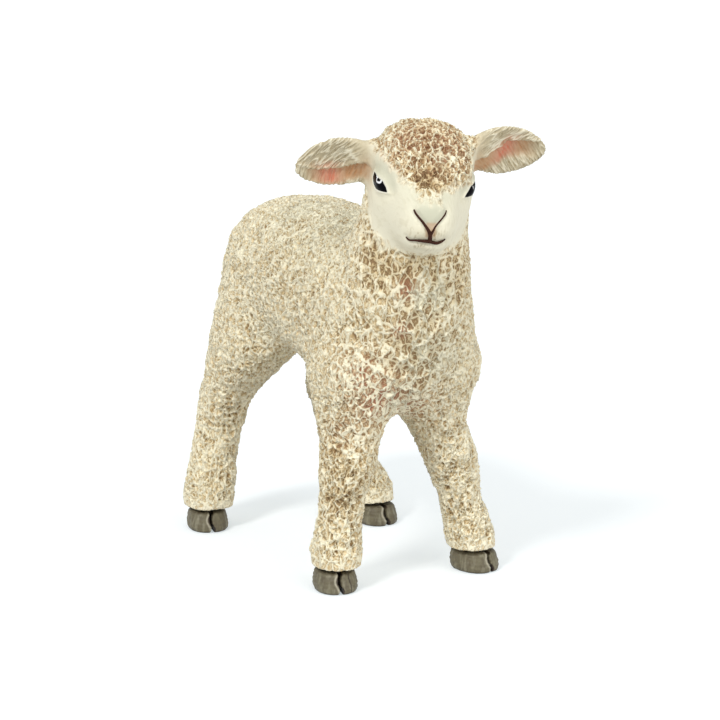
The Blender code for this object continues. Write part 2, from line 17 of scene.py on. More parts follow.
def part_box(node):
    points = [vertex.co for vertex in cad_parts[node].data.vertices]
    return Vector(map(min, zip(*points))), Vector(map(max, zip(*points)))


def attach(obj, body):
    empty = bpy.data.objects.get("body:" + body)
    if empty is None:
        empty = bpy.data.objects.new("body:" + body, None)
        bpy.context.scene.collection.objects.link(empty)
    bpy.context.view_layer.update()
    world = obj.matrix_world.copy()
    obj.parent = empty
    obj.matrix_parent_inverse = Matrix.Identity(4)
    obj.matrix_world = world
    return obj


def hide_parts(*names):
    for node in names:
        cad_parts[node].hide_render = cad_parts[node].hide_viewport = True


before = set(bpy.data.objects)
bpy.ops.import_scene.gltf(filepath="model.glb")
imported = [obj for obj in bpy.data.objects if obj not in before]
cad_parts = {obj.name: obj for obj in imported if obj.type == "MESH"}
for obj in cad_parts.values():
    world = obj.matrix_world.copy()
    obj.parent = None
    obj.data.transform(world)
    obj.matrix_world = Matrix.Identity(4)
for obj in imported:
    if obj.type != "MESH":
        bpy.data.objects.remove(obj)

bl_info = {
    "name": "Toy Lamb Dresser",
    "version": (1, 0, 0),
    "blender": (4, 5, 0),
    "location": "View3D > Sidebar > Lamb",
    "description": "Sculpts and paints a moulded toy lamb over its solids",
    "category": "Object",
}

MM = 0.001

# The view, as the figure was photographed. One pixel is this long at the target
VIEW_TURN = math.radians(29)
VIEW_RISE = math.radians(12)
VIEW_DISTANCE = 260 * MM
VIEW_TARGET = Vector((-1.42, -4.54, 22.0)) * MM
PICTURE_WIDTH = 720
LENS_SHARE = 130 / 36
PIXEL = VIEW_DISTANCE / (LENS_SHARE * PICTURE_WIDTH)

# The head's own frame: -Y to the nose, +Z to the crown, +X to the lamb's left
HEAD_PLACE = Vector((-1.28, -16.34, 42.0)) * MM
HEAD_TURN = math.radians(-23)
HEAD_LEAN = math.radians(4)
HEAD_NOD = math.radians(15)

# How far the head and the ears reach from the head's place at most, in millimetres
HEAD_REACH = 12
EARS_REACH = 18

# Where the bare face ends, as turns from the nose and rises, in degrees, seen from inside the head
FACE_MIDDLE_BACK = 1.5
CAP_EDGE_RIGHT = (
    (0, 3.4), (4, 4.4), (10, 6.6), (15, 9.5), (21, 14), (32, 18), (40, 21), (54, 25), (80, 27), (100, 20)
)
CAP_EDGE_LEFT = (
    (0, 3.4), (5, 4.6), (10, 7.4), (17, 8.5), (29, 8.5), (42, 9.5), (47, 15), (60, 24), (80, 27), (100, 20)
)
JAW_EDGE = (
    (0, -42), (40, -42), (50, -39), (60, -35), (70, -32), (82, -29), (92, -25), (100, -18), (108, -5)
)
FACE_BACK = 106
FACE_FADE = 9

# The right eye's outline in the head's frame, in millimetres. The left eye is its mirror image,
# but for its tip near the nose
EYE_OUTLINE = (
    (-4.71, -1.55, 0.77),
    (-4.24, -3.53, 0.68),
    (-3.83, -3.96, 0.27),
    (-3.55, -4.14, -0.12),
    (-4.14, -3.83, -0.25),
    (-4.46, -2.52, -0.50),
    (-4.71, -1.82, -0.34),
    (-4.77, -1.36, 0.10),
)
LEFT_EYE_TIP = (3.53, -4.40, -0.12)
EYE_TIP_INDEX = 3
EYE_SIDES = {"right_eye": 1, "left_eye": -1}
EYE_DOME = 0.10 * MM
EYE_DEPTH = 0.35 * MM
EYE_SOCKET = 0.22 * MM
EYE_LID = 0.07 * MM
EYE_LID_WIDTH = 0.16
EYE_HOLLOW = 0.10 * MM

# Lines painted on the face, and the glint, as pixels of the picture with a half width in pixels
NOSE_RIGHT_LINE = (
    (413.9, 209.6, 0.8),
    (415.1, 212.9, 1.0),
    (418.4, 217.2, 1.0),
    (422.7, 222.0, 1.2),
    (426.1, 226.7, 1.4),
    (428.9, 231.0, 1.7),
    (430.4, 235.0, 2.0),
    (429.9, 241.1, 2.1),
)
NOSE_LEFT_LINE = (
    (446.3, 210.6, 0.8),
    (445.2, 214.3, 1.0),
    (441.4, 219.1, 1.1),
    (437.6, 223.4, 1.2),
    (434.7, 227.2, 1.3),
    (432.8, 231.0, 1.5),
    (430.9, 234.5, 1.6),
)
MOUTH_LINE = (
    (405.8, 236.9, 0.6),
    (407.4, 239.4, 0.8),
    (409.8, 240.6, 0.9),
    (415.1, 240.4, 1.0),
    (421.0, 241.0, 1.4),
    (430.4, 241.8, 1.8),
    (436.1, 243.6, 1.5),
    (440.9, 242.3, 1.2),
    (445.4, 239.2, 0.6),
)
GLINT_LINES = {
    "right_eye": (
        (376.9, 175.8, 0.5),
        (377.9, 177.2, 0.8),
        (377.2, 179.2, 0.9),
        (377.4, 181.6, 1.0),
        (379.6, 182.8, 1.1),
        (381.3, 182.0, 0.9),
        (381.2, 180.4, 0.7),
    ),
    "left_eye": (
        (472.5, 186.3, 0.6),
        (472.7, 188.0, 0.8),
        (472.5, 190.6, 0.6),
    ),
}
LINE_SINK = 0.02 * MM
LINE_GROOVE = 0.10 * MM
LINE_GROOVE_WIDTH = 0.24 * MM

# How far the forms of the muzzle stand out, and the groove under the lip
NOSE_PAD_HEIGHT = 0.16 * MM
LIP_HEIGHT = 0.14 * MM
CHIN_HEIGHT = 0.12 * MM
CHIN_GROOVE = 0.07 * MM

# Each ear's fold, as places along and across the ear in millimetres, how far under it the cup
# reaches, where along it the wash is reddest, and the lean of the hairs over and under the fold
EAR_MARKS = {
    "right_ear": {
        "fold": (
            (-3, 0.1), (-2.35, 0), (-0.97, -0.4), (0, -0.7), (1.8, -0.52), (2.75, -0.2), (4.4, 0.8)
        ),
        "cup": 1.5,
        "red": 1.25,
        "hair_over": math.radians(147),
        "hair_under": math.radians(115),
    },
    "left_ear": {
        "fold": (
            (-3.1, -0.26), (-1.6, -0.4), (-0.95, 0.13), (-0.16, 0.4), (0.4, 1.1), (2.2, 1.2), (4.4, 1.2)
        ),
        "cup": 1.7,
        "red": 0.35,
        "hair_over": math.radians(35),
        "hair_under": math.radians(-52),
    },
}

# Washes on the coat, as a place and a reach in millimetres, and a strength
BLUSH_SPOTS = (
    ((-3.8, -16.7, 27.4), 0.8, 1.0),
    ((-3.7, -17.8, 31.5), 1.1, 0.8),
    ((-6.5, -13.8, 22.3), 2.5, 0.9),
    ((-4.5, -14.0, 20.1), 2.8, 1.0),
    ((-0.8, -12.5, 18.0), 3.0, 0.7),
    ((-7.1, -11.8, 17.0), 2.2, 0.35),
    ((-4.3, -18.5, 46.0), 3.5, 0.55),
    ((-0.8, -19.5, 45.0), 3.5, 0.55),
)
COOL_SPOTS = (
    ((-1.5, -18.3, 30.4), 2.6, 0.9),
    ((-0.6, -16.6, 24.8), 3.2, 1.0),
    ((-1.8, -14.3, 20.5), 2.2, 0.8),
    ((-1.8, -21.1, 44.5), 0.9, 0.9),
    ((-1.2, -2.0, 36.5), 5.5, 1.0),
    ((-2.3, 5.0, 36.5), 4.5, 0.8),
    ((-5.7, 6.8, 23.5), 1.5, 0.5),
)
SMOOTH_SPOTS = (
    ((-5.7, 6.8, 21.9), 1.9, 0.8),
    ((-1.8, -21.1, 44.5), 0.7, 0.7),
)

# Where the curls are painted darker, partly a darker wash and partly painted shade: the cap and its tip,
# the neck, the throat under the head, the chest, the right foreleg and the top of the back
DEEP_SPOTS = (
    ((-1.8, -18.0, 46.5), 6.5, 1.5),
    ((-3.1, -21.2, 42.3), 2.2, 2.4),
    ((-5.5, -16.0, 34.5), 3.5, 1.2),
    ((1.5, -17.0, 33.0), 3.5, 0.9),
    ((-1.8, -17.0, 26.0), 5.0, 0.5),
    ((-6.3, -9.5, 12.0), 6.0, 0.9),
    ((-1.8, 2.0, 37.5), 7.0, 0.5),
)

# Where the neck runs into the back, the skin is fuller than the solids under it
NECK_FILL_SPOTS = (
    ((-4.3, -9.5, 35.0), 3.6, 1.0),
    ((2.5, -9.5, 35.0), 3.6, 1.0),
    ((-0.9, -9.0, 37.0), 3.2, 1.0),
)
SOFT_ROUNDS = 160

# Nodes under each skin. The head's skin takes in the top of the neck, to meet the body's at the seam
LEG_NODES = ("front_left_leg", "front_right_leg", "rear_left_leg", "rear_right_leg")
HEAD_NODES = ("head", "left_ear", "right_ear", "left_eye", "right_eye")
BODY_SKIN_NODES = ("torso", "head", *LEG_NODES)
HEAD_SKIN_NODES = ("torso", *HEAD_NODES)

# Seams. The neck's and the ears' are square to the neck and to the head's side
LEG_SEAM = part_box("torso")[0].z
NECK_SEAM = Vector((-0.94, -14.29, 37.1)) * MM
NECK_WAY = Vector((-1.1, -6.6, 15.8)).normalized()
NECK_OVERLAP = 4 * MM
EAR_SEAM = 5.5 * MM
BODY_SEAMS = (-9.5 * MM, -1.0 * MM, 7.0 * MM, 13.0 * MM)
CRUMB = 60

# The middle of each hoof's top in millimetres, and the way its toe is turned
HOOF_TOP = 2.1
HOOF_STANCES = {
    "front_left_hoof": (9.42, -8.74, math.radians(12)),
    "front_right_hoof": (-6.38, -8.24, math.radians(-15)),
    "rear_left_hoof": (9.32, 11.66, math.radians(2)),
    "rear_right_hoof": (-7.68, 18.26, math.radians(-14)),
}
CLEFT_END = -0.8

# A hoof's finer forms in millimetres: the cleft's wave, the wall's bulge and wear, its growth
# rings, and a split in the front right hoof
CLEFT_WAVE = 0.10
WALL_BULGE = 0.07
WALL_WEAR = 0.045
RING_HEIGHT = 0.022
RING_STEP = 0.42
SPLIT_DEPTH = 0.09

# Each lamp's way from the figure as the camera sees it, its share of the light, and its spread
LAMPS = {
    "key": ((-0.38, 0.55, 0.74), 0.60, math.radians(12)),
    "fill": ((0.62, 0.30, 0.72), 0.40, math.radians(60)),
}

# Thin washes over the wool, the bare skin and the horn, with painted shade and painted highlights among
# them, and the small paints of lines and eyes with the eyes' painted glint
COOL_WOOL = (0.61, 0.62, 0.48)
BLUSHED_WOOL = (0.38, 0.165, 0.09)
HAIR_STROKE = (0.66, 0.60, 0.40)
EAR_GROUND = (0.58, 0.50, 0.33)
COOL_SKIN = (0.57, 0.57, 0.43)
SHADED_SKIN = (0.40, 0.32, 0.18)
WARM_SKIN = (0.52, 0.27, 0.12)
PALE_HAIR_AND_HIGHLIGHT = (0.94, 0.89, 0.70)
PALE_LID = (0.96, 0.95, 0.86)
LINE_BROWNS = ((0.020, 0.006, 0.003), (0.075, 0.024, 0.012))
EYE_BLACKS = ((0.002, 0.002, 0.003), (0.006, 0.005, 0.007))
GLINT_WHITE = (0.93, 0.94, 0.95)
DARK_HORN = (0.12, 0.10, 0.06)
GRAINED_HORN = (0.38, 0.36, 0.26)
# A painted highlight along one claw's edge beside the cleft
HORN_HIGHLIGHT = (0.50, 0.47, 0.36)

# The floor's own light to the camera, its colour and strength
FLOOR_GLOW = (0.88, 0.97, 1.0)
FLOOR_LIFT = 0.50


def length(name, description, default):
    return bpy.props.FloatProperty(name=name, description=description, default=default, unit="LENGTH")


def colour(name, description, default):
    return bpy.props.FloatVectorProperty(
        name=name, description=description, default=default, subtype="COLOR"
    )


def brightness(name, description, default):
    return bpy.props.FloatProperty(name=name, description=description, default=default, min=0)


class LambCoatSettings(bpy.types.PropertyGroup):
    """Sizes and paints of the sculpted coat."""

    cell: length("Mesh cell", "Size of the coat's mesh cells before they are divided once", 0.20 * MM)
    head_cell: length(
        "Head mesh cell", "Size of the head's finer mesh cells before they are divided once", 0.175 * MM
    )
    curl_height: length("Curl height", "How far the crests stand over the deepest hollows", 0.55 * MM)
    # The crests' pale paint is partly a painted highlight, and the tan and brown washes low in the hollows
    # are partly painted shade
    crest_paint_and_highlight: colour("Crest paint", "Pale paint on the crests of the curls", (0.99, 0.92, 0.69))
    fleece_paint: colour(
        "Fleece paint", "Cream paint between the crests and the hollows", (0.87, 0.73, 0.46)
    )
    tan_wash_and_shade: colour("Tan wash", "Tan wash low on the sides of the curls", (0.60, 0.44, 0.22))
    hollow_wash_and_shade: colour("Hollow wash", "Brown wash at the bottom of the hollows", (0.30, 0.19, 0.085))
    face_paint: colour("Face paint", "Pale cream paint of the bare face and the ears", (0.90, 0.86, 0.67))
    ear_paint: colour("Ear wash", "Pink wash in the cups of the ears", (0.68, 0.22, 0.13))


class LambHoofSettings(bpy.types.PropertyGroup):
    """Sizes and paints of the hooves."""

    cell: length("Mesh cell", "Size of a hoof's mesh cells", 0.085 * MM)
    horn_paint: colour("Horn paint", "Grey-brown paint of the hooves", (0.168, 0.15, 0.09))
    # Painted shade in the hooves' clefts and split, at the sole and under the wool
    hoof_shade_paint: colour("Cleft paint", "Dark paint in the clefts", (0.035, 0.022, 0.013))


class LambStageSettings(bpy.types.PropertyGroup):
    """Floor and light."""

    floor_paint: colour("Floor", "Colour of the floor", (0.62, 0.62, 0.62))
    sky_strength: brightness("Sky strength", "Brightness of the even light from all round", 0.60)
    sun_strength: brightness("Sun strength", "Brightness of the soft main light", 2.4)


def perlin(points, seed):
    """Smooth noise from about -1 to 1 at rows of points, one wave or so a unit."""
    draw = np.random.default_rng(seed)
    table = np.tile(draw.permutation(256), 3)
    slopes = draw.normal(size=(256, 3))
    slopes /= np.linalg.norm(slopes, axis=1)[:, None]
    corner = np.floor(points).astype(int)
    way = points - corner
    corner &= 255
    fade = way**3 * (way * (way * 6 - 15) + 10)
    total = np.zeros(len(points))
    for step in np.ndindex(2, 2, 2):
        x, y, z = (corner + step).T
        slope = slopes[table[table[table[x] + y] + z]]
        weight = np.prod(np.where(step, fade, 1 - fade), axis=1)
        total += weight * ((way - step) * slope).sum(axis=1)
    return total * 1.5


def walls(points, seed):
    """How far rows of points are from the nearest wall of a random cell, and a number for each cell."""
    draw = np.random.default_rng(seed)
    table = np.tile(draw.permutation(256), 3)
    jitter = draw.random((256, 3))
    corner = np.floor(points).astype(int)
    way = points - corner
    first = np.full((len(points), 3), 9.0)
    second = np.full((len(points), 3), 9.0)
    first_gap = (first**2).sum(axis=1)
    second_gap = first_gap.copy()
    number = np.zeros(len(points), int)
    for step in np.ndindex(3, 3, 3):
        offset = np.array(step) - 1
        x, y, z = ((corner + offset) & 255).T
        pick = table[table[table[x] + y] + z]
        reach = jitter[pick] + offset - way
        gap = (reach**2).sum(axis=1)
        nearer = gap < first_gap
        second_too = ~nearer & (gap < second_gap)
        second[nearer] = first[nearer]
        second_gap[nearer] = first_gap[nearer]
        first[nearer] = reach[nearer]
        first_gap[nearer] = gap[nearer]
        number[nearer] = pick[nearer]
        second[second_too] = reach[second_too]
        second_gap[second_too] = gap[second_too]
    apart = np.linalg.norm(second - first, axis=1)
    return (second_gap - first_gap) / (2 * apart), number / 255


def smooth_step(low, high, value):
    way = np.clip((value - low) / (high - low), 0, 1)
    return way * way * (3 - 2 * way)


def bell(value):
    return np.exp(-(value**2))


def mesh_points(mesh):
    flat = np.empty(len(mesh.vertices) * 3)
    mesh.vertices.foreach_get("co", flat)
    return flat.reshape(-1, 3)


def mesh_normals(mesh):
    flat = np.empty(len(mesh.vertices) * 3)
    mesh.vertices.foreach_get("normal", flat)
    return flat.reshape(-1, 3)


def move_to(mesh, points):
    mesh.vertices.foreach_set("co", points.ravel())
    mesh.update()
    mesh.shade_smooth()


def store(mesh, **values):
    """Keeps a number at each point under each name, for the paint."""
    for name, numbers in values.items():
        attribute = mesh.attributes.new(name, "FLOAT", "POINT")
        attribute.data.foreach_set("value", numbers.astype(np.float32))


def mesh_of(shape, name):
    """A mesh from a bmesh, which is freed."""
    mesh = bpy.data.meshes.new(name)
    shape.to_mesh(mesh)
    shape.free()
    return mesh


def new_object(name, data):
    made = bpy.data.objects.new(name, data)
    bpy.context.scene.collection.objects.link(made)
    return made


def tree_over(mesh):
    shape = bmesh.new()
    shape.from_mesh(mesh)
    tree = BVHTree.FromBMesh(shape)
    shape.free()
    return tree


def view_frame():
    """The camera's place and turn."""
    level = Vector((math.sin(VIEW_TURN), math.cos(VIEW_TURN), 0))
    ahead = level * math.cos(VIEW_RISE) - Vector((0, 0, math.sin(VIEW_RISE)))
    right = Vector((math.cos(VIEW_TURN), -math.sin(VIEW_TURN), 0))
    turn = Matrix((right, right.cross(ahead), -ahead)).transposed().to_4x4()
    return Matrix.Translation(VIEW_TARGET - ahead * VIEW_DISTANCE) @ turn


def head_frame():
    turn = Matrix.Rotation(HEAD_TURN, 4, "Z")
    lean = Matrix.Rotation(HEAD_LEAN, 4, "Y")
    nod = Matrix.Rotation(HEAD_NOD, 4, "X")
    return Matrix.Translation(HEAD_PLACE) @ turn @ lean @ nod


def in_head(points):
    """Points in the head's frame, in millimetres."""
    back = np.array(head_frame().inverted())
    return (points @ back[:3, :3].T + back[:3, 3]) / MM


def smooth_route(table):
    """A table's rows with rows between them, rounded at the corners."""
    table = np.array(table, float)
    steps = np.linalg.norm(np.diff(table[:, :2], axis=0), axis=1)
    along = np.concatenate([[0], np.cumsum(steps)])
    spots = np.linspace(0, along[-1], 6 * len(table))
    rows = np.stack([np.interp(spots, along, column) for column in table.T], axis=1)
    for _ in range(6):
        rows[1:-1] = (rows[:-2] + 2 * rows[1:-1] + rows[2:]) / 4
    return rows


def picture_line(table, tree):
    """Where a line drawn in the picture lies on a skin, with its half width, in metres."""
    view = view_frame()
    middle = PICTURE_WIDTH / 2
    rows = []
    for u, v, half in smooth_route(table):
        sight = view.to_3x3() @ Vector((u - middle, middle - v, -LENS_SHARE * PICTURE_WIDTH))
        place = tree.ray_cast(view.translation, sight.normalized())[0]
        if place is None:
            raise RuntimeError("A painted line misses the skin")
        rows.append((*place, half * PIXEL))
    return np.array(rows)


def line_gap(points, line):
    """How far points are from a line's middle, less its half width there."""
    least = np.full(len(points), 1.0)
    for start, end in zip(line[:-1], line[1:]):
        way = end[:3] - start[:3]
        share = np.clip((points - start[:3]) @ way / (way @ way), 0, 1)
        near = start[:3] + share[:, None] * way
        half = start[3] + share * (end[3] - start[3])
        least = np.minimum(least, np.linalg.norm(points - near, axis=1) - half)
    return least


class EyeShape:
    """The almond outline of an eye in the head's frame, in millimetres."""

    def __init__(self, side):
        outline = np.array(EYE_OUTLINE) * (side, 1, 1)
        if side == EYE_SIDES["left_eye"]:
            outline[EYE_TIP_INDEX] = LEFT_EYE_TIP
        self.centre = outline.mean(axis=0)
        axes = np.linalg.eigh(np.cov((outline - self.centre).T))[1]
        self.out = axes[:, 0] * math.copysign(1, axes[:, 0] @ self.centre)
        self.along = axes[:, 2] * math.copysign(1, axes[2, 2])
        self.across = np.cross(self.out, self.along)
        closed = np.concatenate([outline, outline[:1]])
        spots = np.linspace(0, len(outline), 16 * len(outline), endpoint=False)
        rim = np.stack([np.interp(spots, range(len(closed)), column) for column in closed.T], axis=1)
        a, b, _ = self.flat(rim)
        angles = np.arctan2(b, a)
        order = np.argsort(angles)
        self.angles = angles[order]
        reach = np.hypot(a, b)[order]
        for _ in range(2):
            reach = (np.roll(reach, 1) + 2 * reach + np.roll(reach, -1)) / 4
        self.reaches = reach * 1.03

    def flat(self, points):
        """How far points are along the eye, across it and out of it."""
        shift = points - self.centre
        return shift @ self.along, shift @ self.across, shift @ self.out

    def reach(self, angles):
        return np.interp(angles, self.angles, self.reaches, period=2 * math.pi)

    def gap(self, points):
        """How far points are outside the outline, or a number under 0 inside it."""
        a, b, out = self.flat(points)
        reach = self.reach(np.arctan2(b, a))
        away = np.hypot(a, b) - reach
        return np.where(np.abs(out) < 2.5, away, 9)


def ear_axes(node):
    """An ear's middle, and its ways to the tip, across and out of its cup, from its solid."""
    points = mesh_points(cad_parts[node].data) / MM
    middle = points.mean(axis=0)
    axes = np.linalg.eigh(np.cov((points - middle).T))[1]
    side = 1 if node.startswith("left") else -1
    along = axes[:, 2] * math.copysign(1, axes[0, 2] * side)
    across = axes[:, 1] * math.copysign(1, axes[2, 1])
    out = axes[:, 0] * math.copysign(1, -axes[1, 0])
    return middle, np.stack([along, across, out], axis=1)


def streaks(along, across, lean, seed, width=0.30, length=1.5):
    """Hairs that lie at a lean on a flat place: 1 on a hair's crest and 0 between hairs."""
    with_hair = along * math.cos(lean) + across * math.sin(lean)
    over_hair = across * math.cos(lean) - along * math.sin(lean)
    places = np.stack([with_hair / length, over_hair / width, np.zeros(len(along))], axis=1)
    bend = 0.5 * perlin(places * 0.5, seed + 1)
    places[:, 1] += bend
    return np.clip(1 - 2.2 * np.abs(perlin(places, seed)), 0, 1)


def ear_relief(points, normals):
    """Height of hairs, folds and cups on both ears, and their washes and painted shade, at rows of points.
    """
    height = np.zeros(len(points))
    pink = np.zeros(len(points))
    warm = np.zeros(len(points))
    shade = np.zeros(len(points))
    crest = np.full(len(points), 0.5)
    for node, marks in EAR_MARKS.items():
        middle, axes = ear_axes(node)
        along, across, out = ((points / MM - middle) @ axes).T
        front = smooth_step(-0.1, 0.35, normals @ axes[:, 2])
        here = (np.abs(along) < 6.5) & (np.abs(across) < 4) & (np.abs(out) < 3)
        wavy = 0.14 * perlin(points / MM / 0.5, 81)
        under = np.interp(along, *zip(*marks["fold"])) + wavy - across
        cup = smooth_step(0.0, 0.3, under) * smooth_step(marks["cup"] + 0.6, marks["cup"] - 0.4, under)
        cup *= front * smooth_step(4.2, 2.8, along)
        fold = bell((under + 0.12) / 0.2) * front * smooth_step(4.2, 3.0, along)
        over_hair = streaks(along, across, marks["hair_over"], 83, 0.26)
        under_hair = streaks(along, across, marks["hair_under"], 85, 0.24, 1.8)
        low = smooth_step(-0.1, 0.2, under)
        hair = np.where(front > 0.5, low * under_hair + (1 - low) * over_hair, over_hair)
        root = smooth_step(-1.4, -3.0, along)
        hair_height = (0.15 - 0.06 * cup) * (1 - 0.8 * root)
        red = bell((along - marks["red"]) / 1.05)
        bleed = 0.45 * front * bell((under + 0.35) / 0.4) * bell((along - marks["red"]) / 1.2)
        height = np.where(here, hair_height * hair - 0.06 - 0.20 * cup + 0.08 * fold, height)
        pink = np.where(here, np.clip(cup * red * (1 - 0.3 * under_hair) + bleed, 0, 1), pink)
        orange = cup * (1 - red) * smooth_step(4.0, 1.5, along) * (1 - 0.3 * under_hair)
        # The orange at the ear's root is partly painted shade
        orange = np.maximum(orange, 0.4 * root * bell((across + 0.5) / 1.2))
        warm = np.where(here, orange, warm)
        edge = smooth_step(marks["cup"] - 0.4, marks["cup"] + 0.2, under) * front
        tan = 0.5 * edge + 0.45 * root * bell((across - 0.2) / 1.2)
        shade = np.where(here, np.maximum(tan, 0.9 * (1 - hair) * (1 - 0.7 * root)), shade)
        crest = np.where(here, hair * (1 - root) * (1 - 0.45 * cup), crest)
    return height * MM, pink, warm, shade, crest


def face_share(points):
    """1 on the bare face, 0 in the fleece, with a ragged edge between them."""
    x, y, z = in_head(points).T
    turn = np.degrees(np.arctan2(x, FACE_MIDDLE_BACK - y))
    rise = np.degrees(np.arctan2(z, np.hypot(x, y - FACE_MIDDLE_BACK)))
    ragged = 5 * perlin(points / MM / 0.9, 71) + 3 * perlin(points / MM / 0.45, 72)
    side = np.abs(turn)
    top = np.where(
        turn > 0, np.interp(side, *zip(*CAP_EDGE_LEFT)), np.interp(side, *zip(*CAP_EDGE_RIGHT))
    )
    low = np.interp(side, *zip(*JAW_EDGE))
    inside = np.minimum(np.minimum(top - rise, rise - low), FACE_BACK - side) + ragged
    near = (np.linalg.norm(np.stack([x, y, z], axis=1), axis=1) < HEAD_REACH) & (np.abs(x) < 6)
    return np.where(near, smooth_step(-FACE_FADE / 2, FACE_FADE / 2, inside), 0)


def ear_share(points):
    """1 on the ears, falling to 0 at their roots."""
    x, y, z = in_head(points).T
    near = (np.linalg.norm(np.stack([x, y, z], axis=1), axis=1) < EARS_REACH) & (z > -4)
    return np.where(near, smooth_step(4.6, 5.6, np.abs(x)), 0)


def face_relief(points, lines):
    """Height of the eyes' sockets and lids, the nose, lips and grooves, and the face's washes and painted
    shade.
    """
    at = in_head(points)
    x, y, z = at.T
    height = np.zeros(len(points))
    lid = np.zeros(len(points))
    cool = np.zeros(len(points))
    for side in EYE_SIDES.values():
        gap = EyeShape(side).gap(at)
        height -= EYE_SOCKET * smooth_step(0.04, -0.18, gap)
        height += EYE_LID * bell((gap - EYE_LID_WIDTH) / EYE_LID_WIDTH)
        height -= EYE_HOLLOW * bell((gap - 0.75) / 0.45)
        lid = np.maximum(lid, bell((gap - 0.07) / 0.12))
        cool = np.maximum(cool, 0.75 * bell((gap - 0.6) / 1.0) * smooth_step(-0.2, 0.8, z))
    front = smooth_step(-5.5, -7.0, y)
    half = np.interp(z, (-2.3, -1.2, -0.2, 0.6), (0.0, 0.75, 1.45, 0.9))
    middle = np.interp(z, (-2.3, -0.2), (0.31, 0.12))
    pad = smooth_step(-0.25, 0.35, half - np.abs(x - middle)) * smooth_step(1.0, -0.2, z) * front
    height += NOSE_PAD_HEIGHT * pad
    for lip in (-0.85, 1.35):
        height += LIP_HEIGHT * front * bell((x - lip) / 0.75) * bell((z + 2.15) / 0.6)
    height += CHIN_HEIGHT * front * bell((x - 0.15) / 1.1) * bell((z + 3.75) / 0.45)
    height -= CHIN_GROOVE * front * bell((x - 0.2) / 1.6) * bell((z + 3.15) / 0.3)
    groove = np.full(len(points), 1.0)
    for line in lines:
        groove = np.minimum(groove, line_gap(points, line))
    height -= LINE_GROOVE * bell(np.clip(groove, 0, None) / LINE_GROOVE_WIDTH)
    warm = 0.55 * front * smooth_step(0.6, 0.35, np.abs(x - 0.12)) * smooth_step(-0.95, -1.2, z)
    warm *= smooth_step(-2.7, -2.3, z)
    warm = np.maximum(warm, 0.3 * bell((np.abs(x) - 4.9) / 0.8) * bell((y - 0.3) / 1.3) * bell(z / 1.8))
    cool = np.maximum(cool, pad * smooth_step(-1.5, -1.0, z))
    bridge = smooth_step(-3.0, -4.5, y) * bell((x - 0.1) / 2.2) * bell((z - 1.0) / 1.6)
    cool = np.maximum(cool, 0.95 * bridge)
    # Painted shade beside the nose's stem and under the lip
    shade = 0.9 * front * bell((z + 2.3) / 0.75) * bell((x + 0.1) / 1.5)
    shade = np.maximum(shade, 0.9 * front * bell((z + 3.6) / 0.38) * bell((x + 0.5) / 0.8))
    return height, lid, warm, cool, shade


def fair_skin(names, cell, levels, planes=(), soft_spots=()):
    """One fair mesh over several nodes, with the narrow seams between them filled."""
    shape = bmesh.new()
    for name in names:
        shape.from_mesh(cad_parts[name].data)
    bmesh.ops.remove_doubles(shape, verts=shape.verts, dist=0.001 * MM)
    for place, normal in planes:
        cut_away(shape, place, normal)
    seam_fill = 0.2 * MM
    skin = evaluated(
        shape,
        ("DISPLACE", {"strength": seam_fill, "mid_level": 0}),
        ("REMESH", {"mode": "VOXEL", "voxel_size": cell}),
        ("DISPLACE", {"strength": -seam_fill, "mid_level": 0}),
        ("SMOOTH", {"factor": 0.5, "iterations": 12}),
    )
    weights = spots_share(mesh_points(skin) / MM, soft_spots)
    shape = bmesh.new()
    shape.from_mesh(skin)
    bpy.data.meshes.remove(skin)
    return evaluated(
        shape,
        ("SMOOTH", {"factor": 0.5, "iterations": SOFT_ROUNDS, "vertex_group": "soft"}),
        ("SUBSURF", {"levels": levels, "render_levels": levels}),
        soft=weights,
    )


def evaluated(shape, *modifiers, soft=()):
    """A mesh from a bmesh, which is freed, with modifiers applied, some by a weight at each point."""
    mesh = mesh_of(shape, "rough")
    rough = new_object("rough", mesh)
    group = rough.vertex_groups.new(name="soft")
    for index, weight in enumerate(soft):
        if weight > 0.02:
            group.add([index], weight, "REPLACE")
    for kind, settings in modifiers:
        modifier = rough.modifiers.new(kind.lower(), kind)
        for name, value in settings.items():
            setattr(modifier, name, value)
    bpy.context.view_layer.update()
    graph = bpy.context.evaluated_depsgraph_get()
    fine = bpy.data.meshes.new_from_object(rough.evaluated_get(graph))
    bpy.data.objects.remove(rough)
    bpy.data.meshes.remove(mesh)
    return fine


def curls(points, size, along, stretch, seed, wiggle=0.38):
    """Crests round hollows, in millimetres: how far the nearest crest is, and each hollow's number."""
    along = np.array(along, float)
    along /= np.linalg.norm(along)
    squeezed = points - np.outer(points @ along, along) * (1 - 1 / stretch)
    bend = np.stack([perlin(squeezed / (0.8 * size), seed + turn) for turn in (1, 2, 3)], axis=1)
    bent = squeezed + size * wiggle * bend
    wall, number = walls(bent / size, seed)
    return wall * size, number


def strands(points, along, seed, width=0.30, length=1.3):
    """Wavy hairs that lie one way, in millimetres: 1 on a hair's crest and 0 between hairs."""
    along = np.array(along, float)
    along /= np.linalg.norm(along)
    squeezed = points - np.outer(points @ along, along) * (1 - width / length)
    bend = np.stack([perlin(squeezed / (3.5 * width), seed + turn) for turn in (1, 2, 3)], axis=1)
    return np.clip(1 - 2.0 * np.abs(perlin((squeezed + 0.8 * width * bend) / (1.6 * width), seed)), 0, 1)


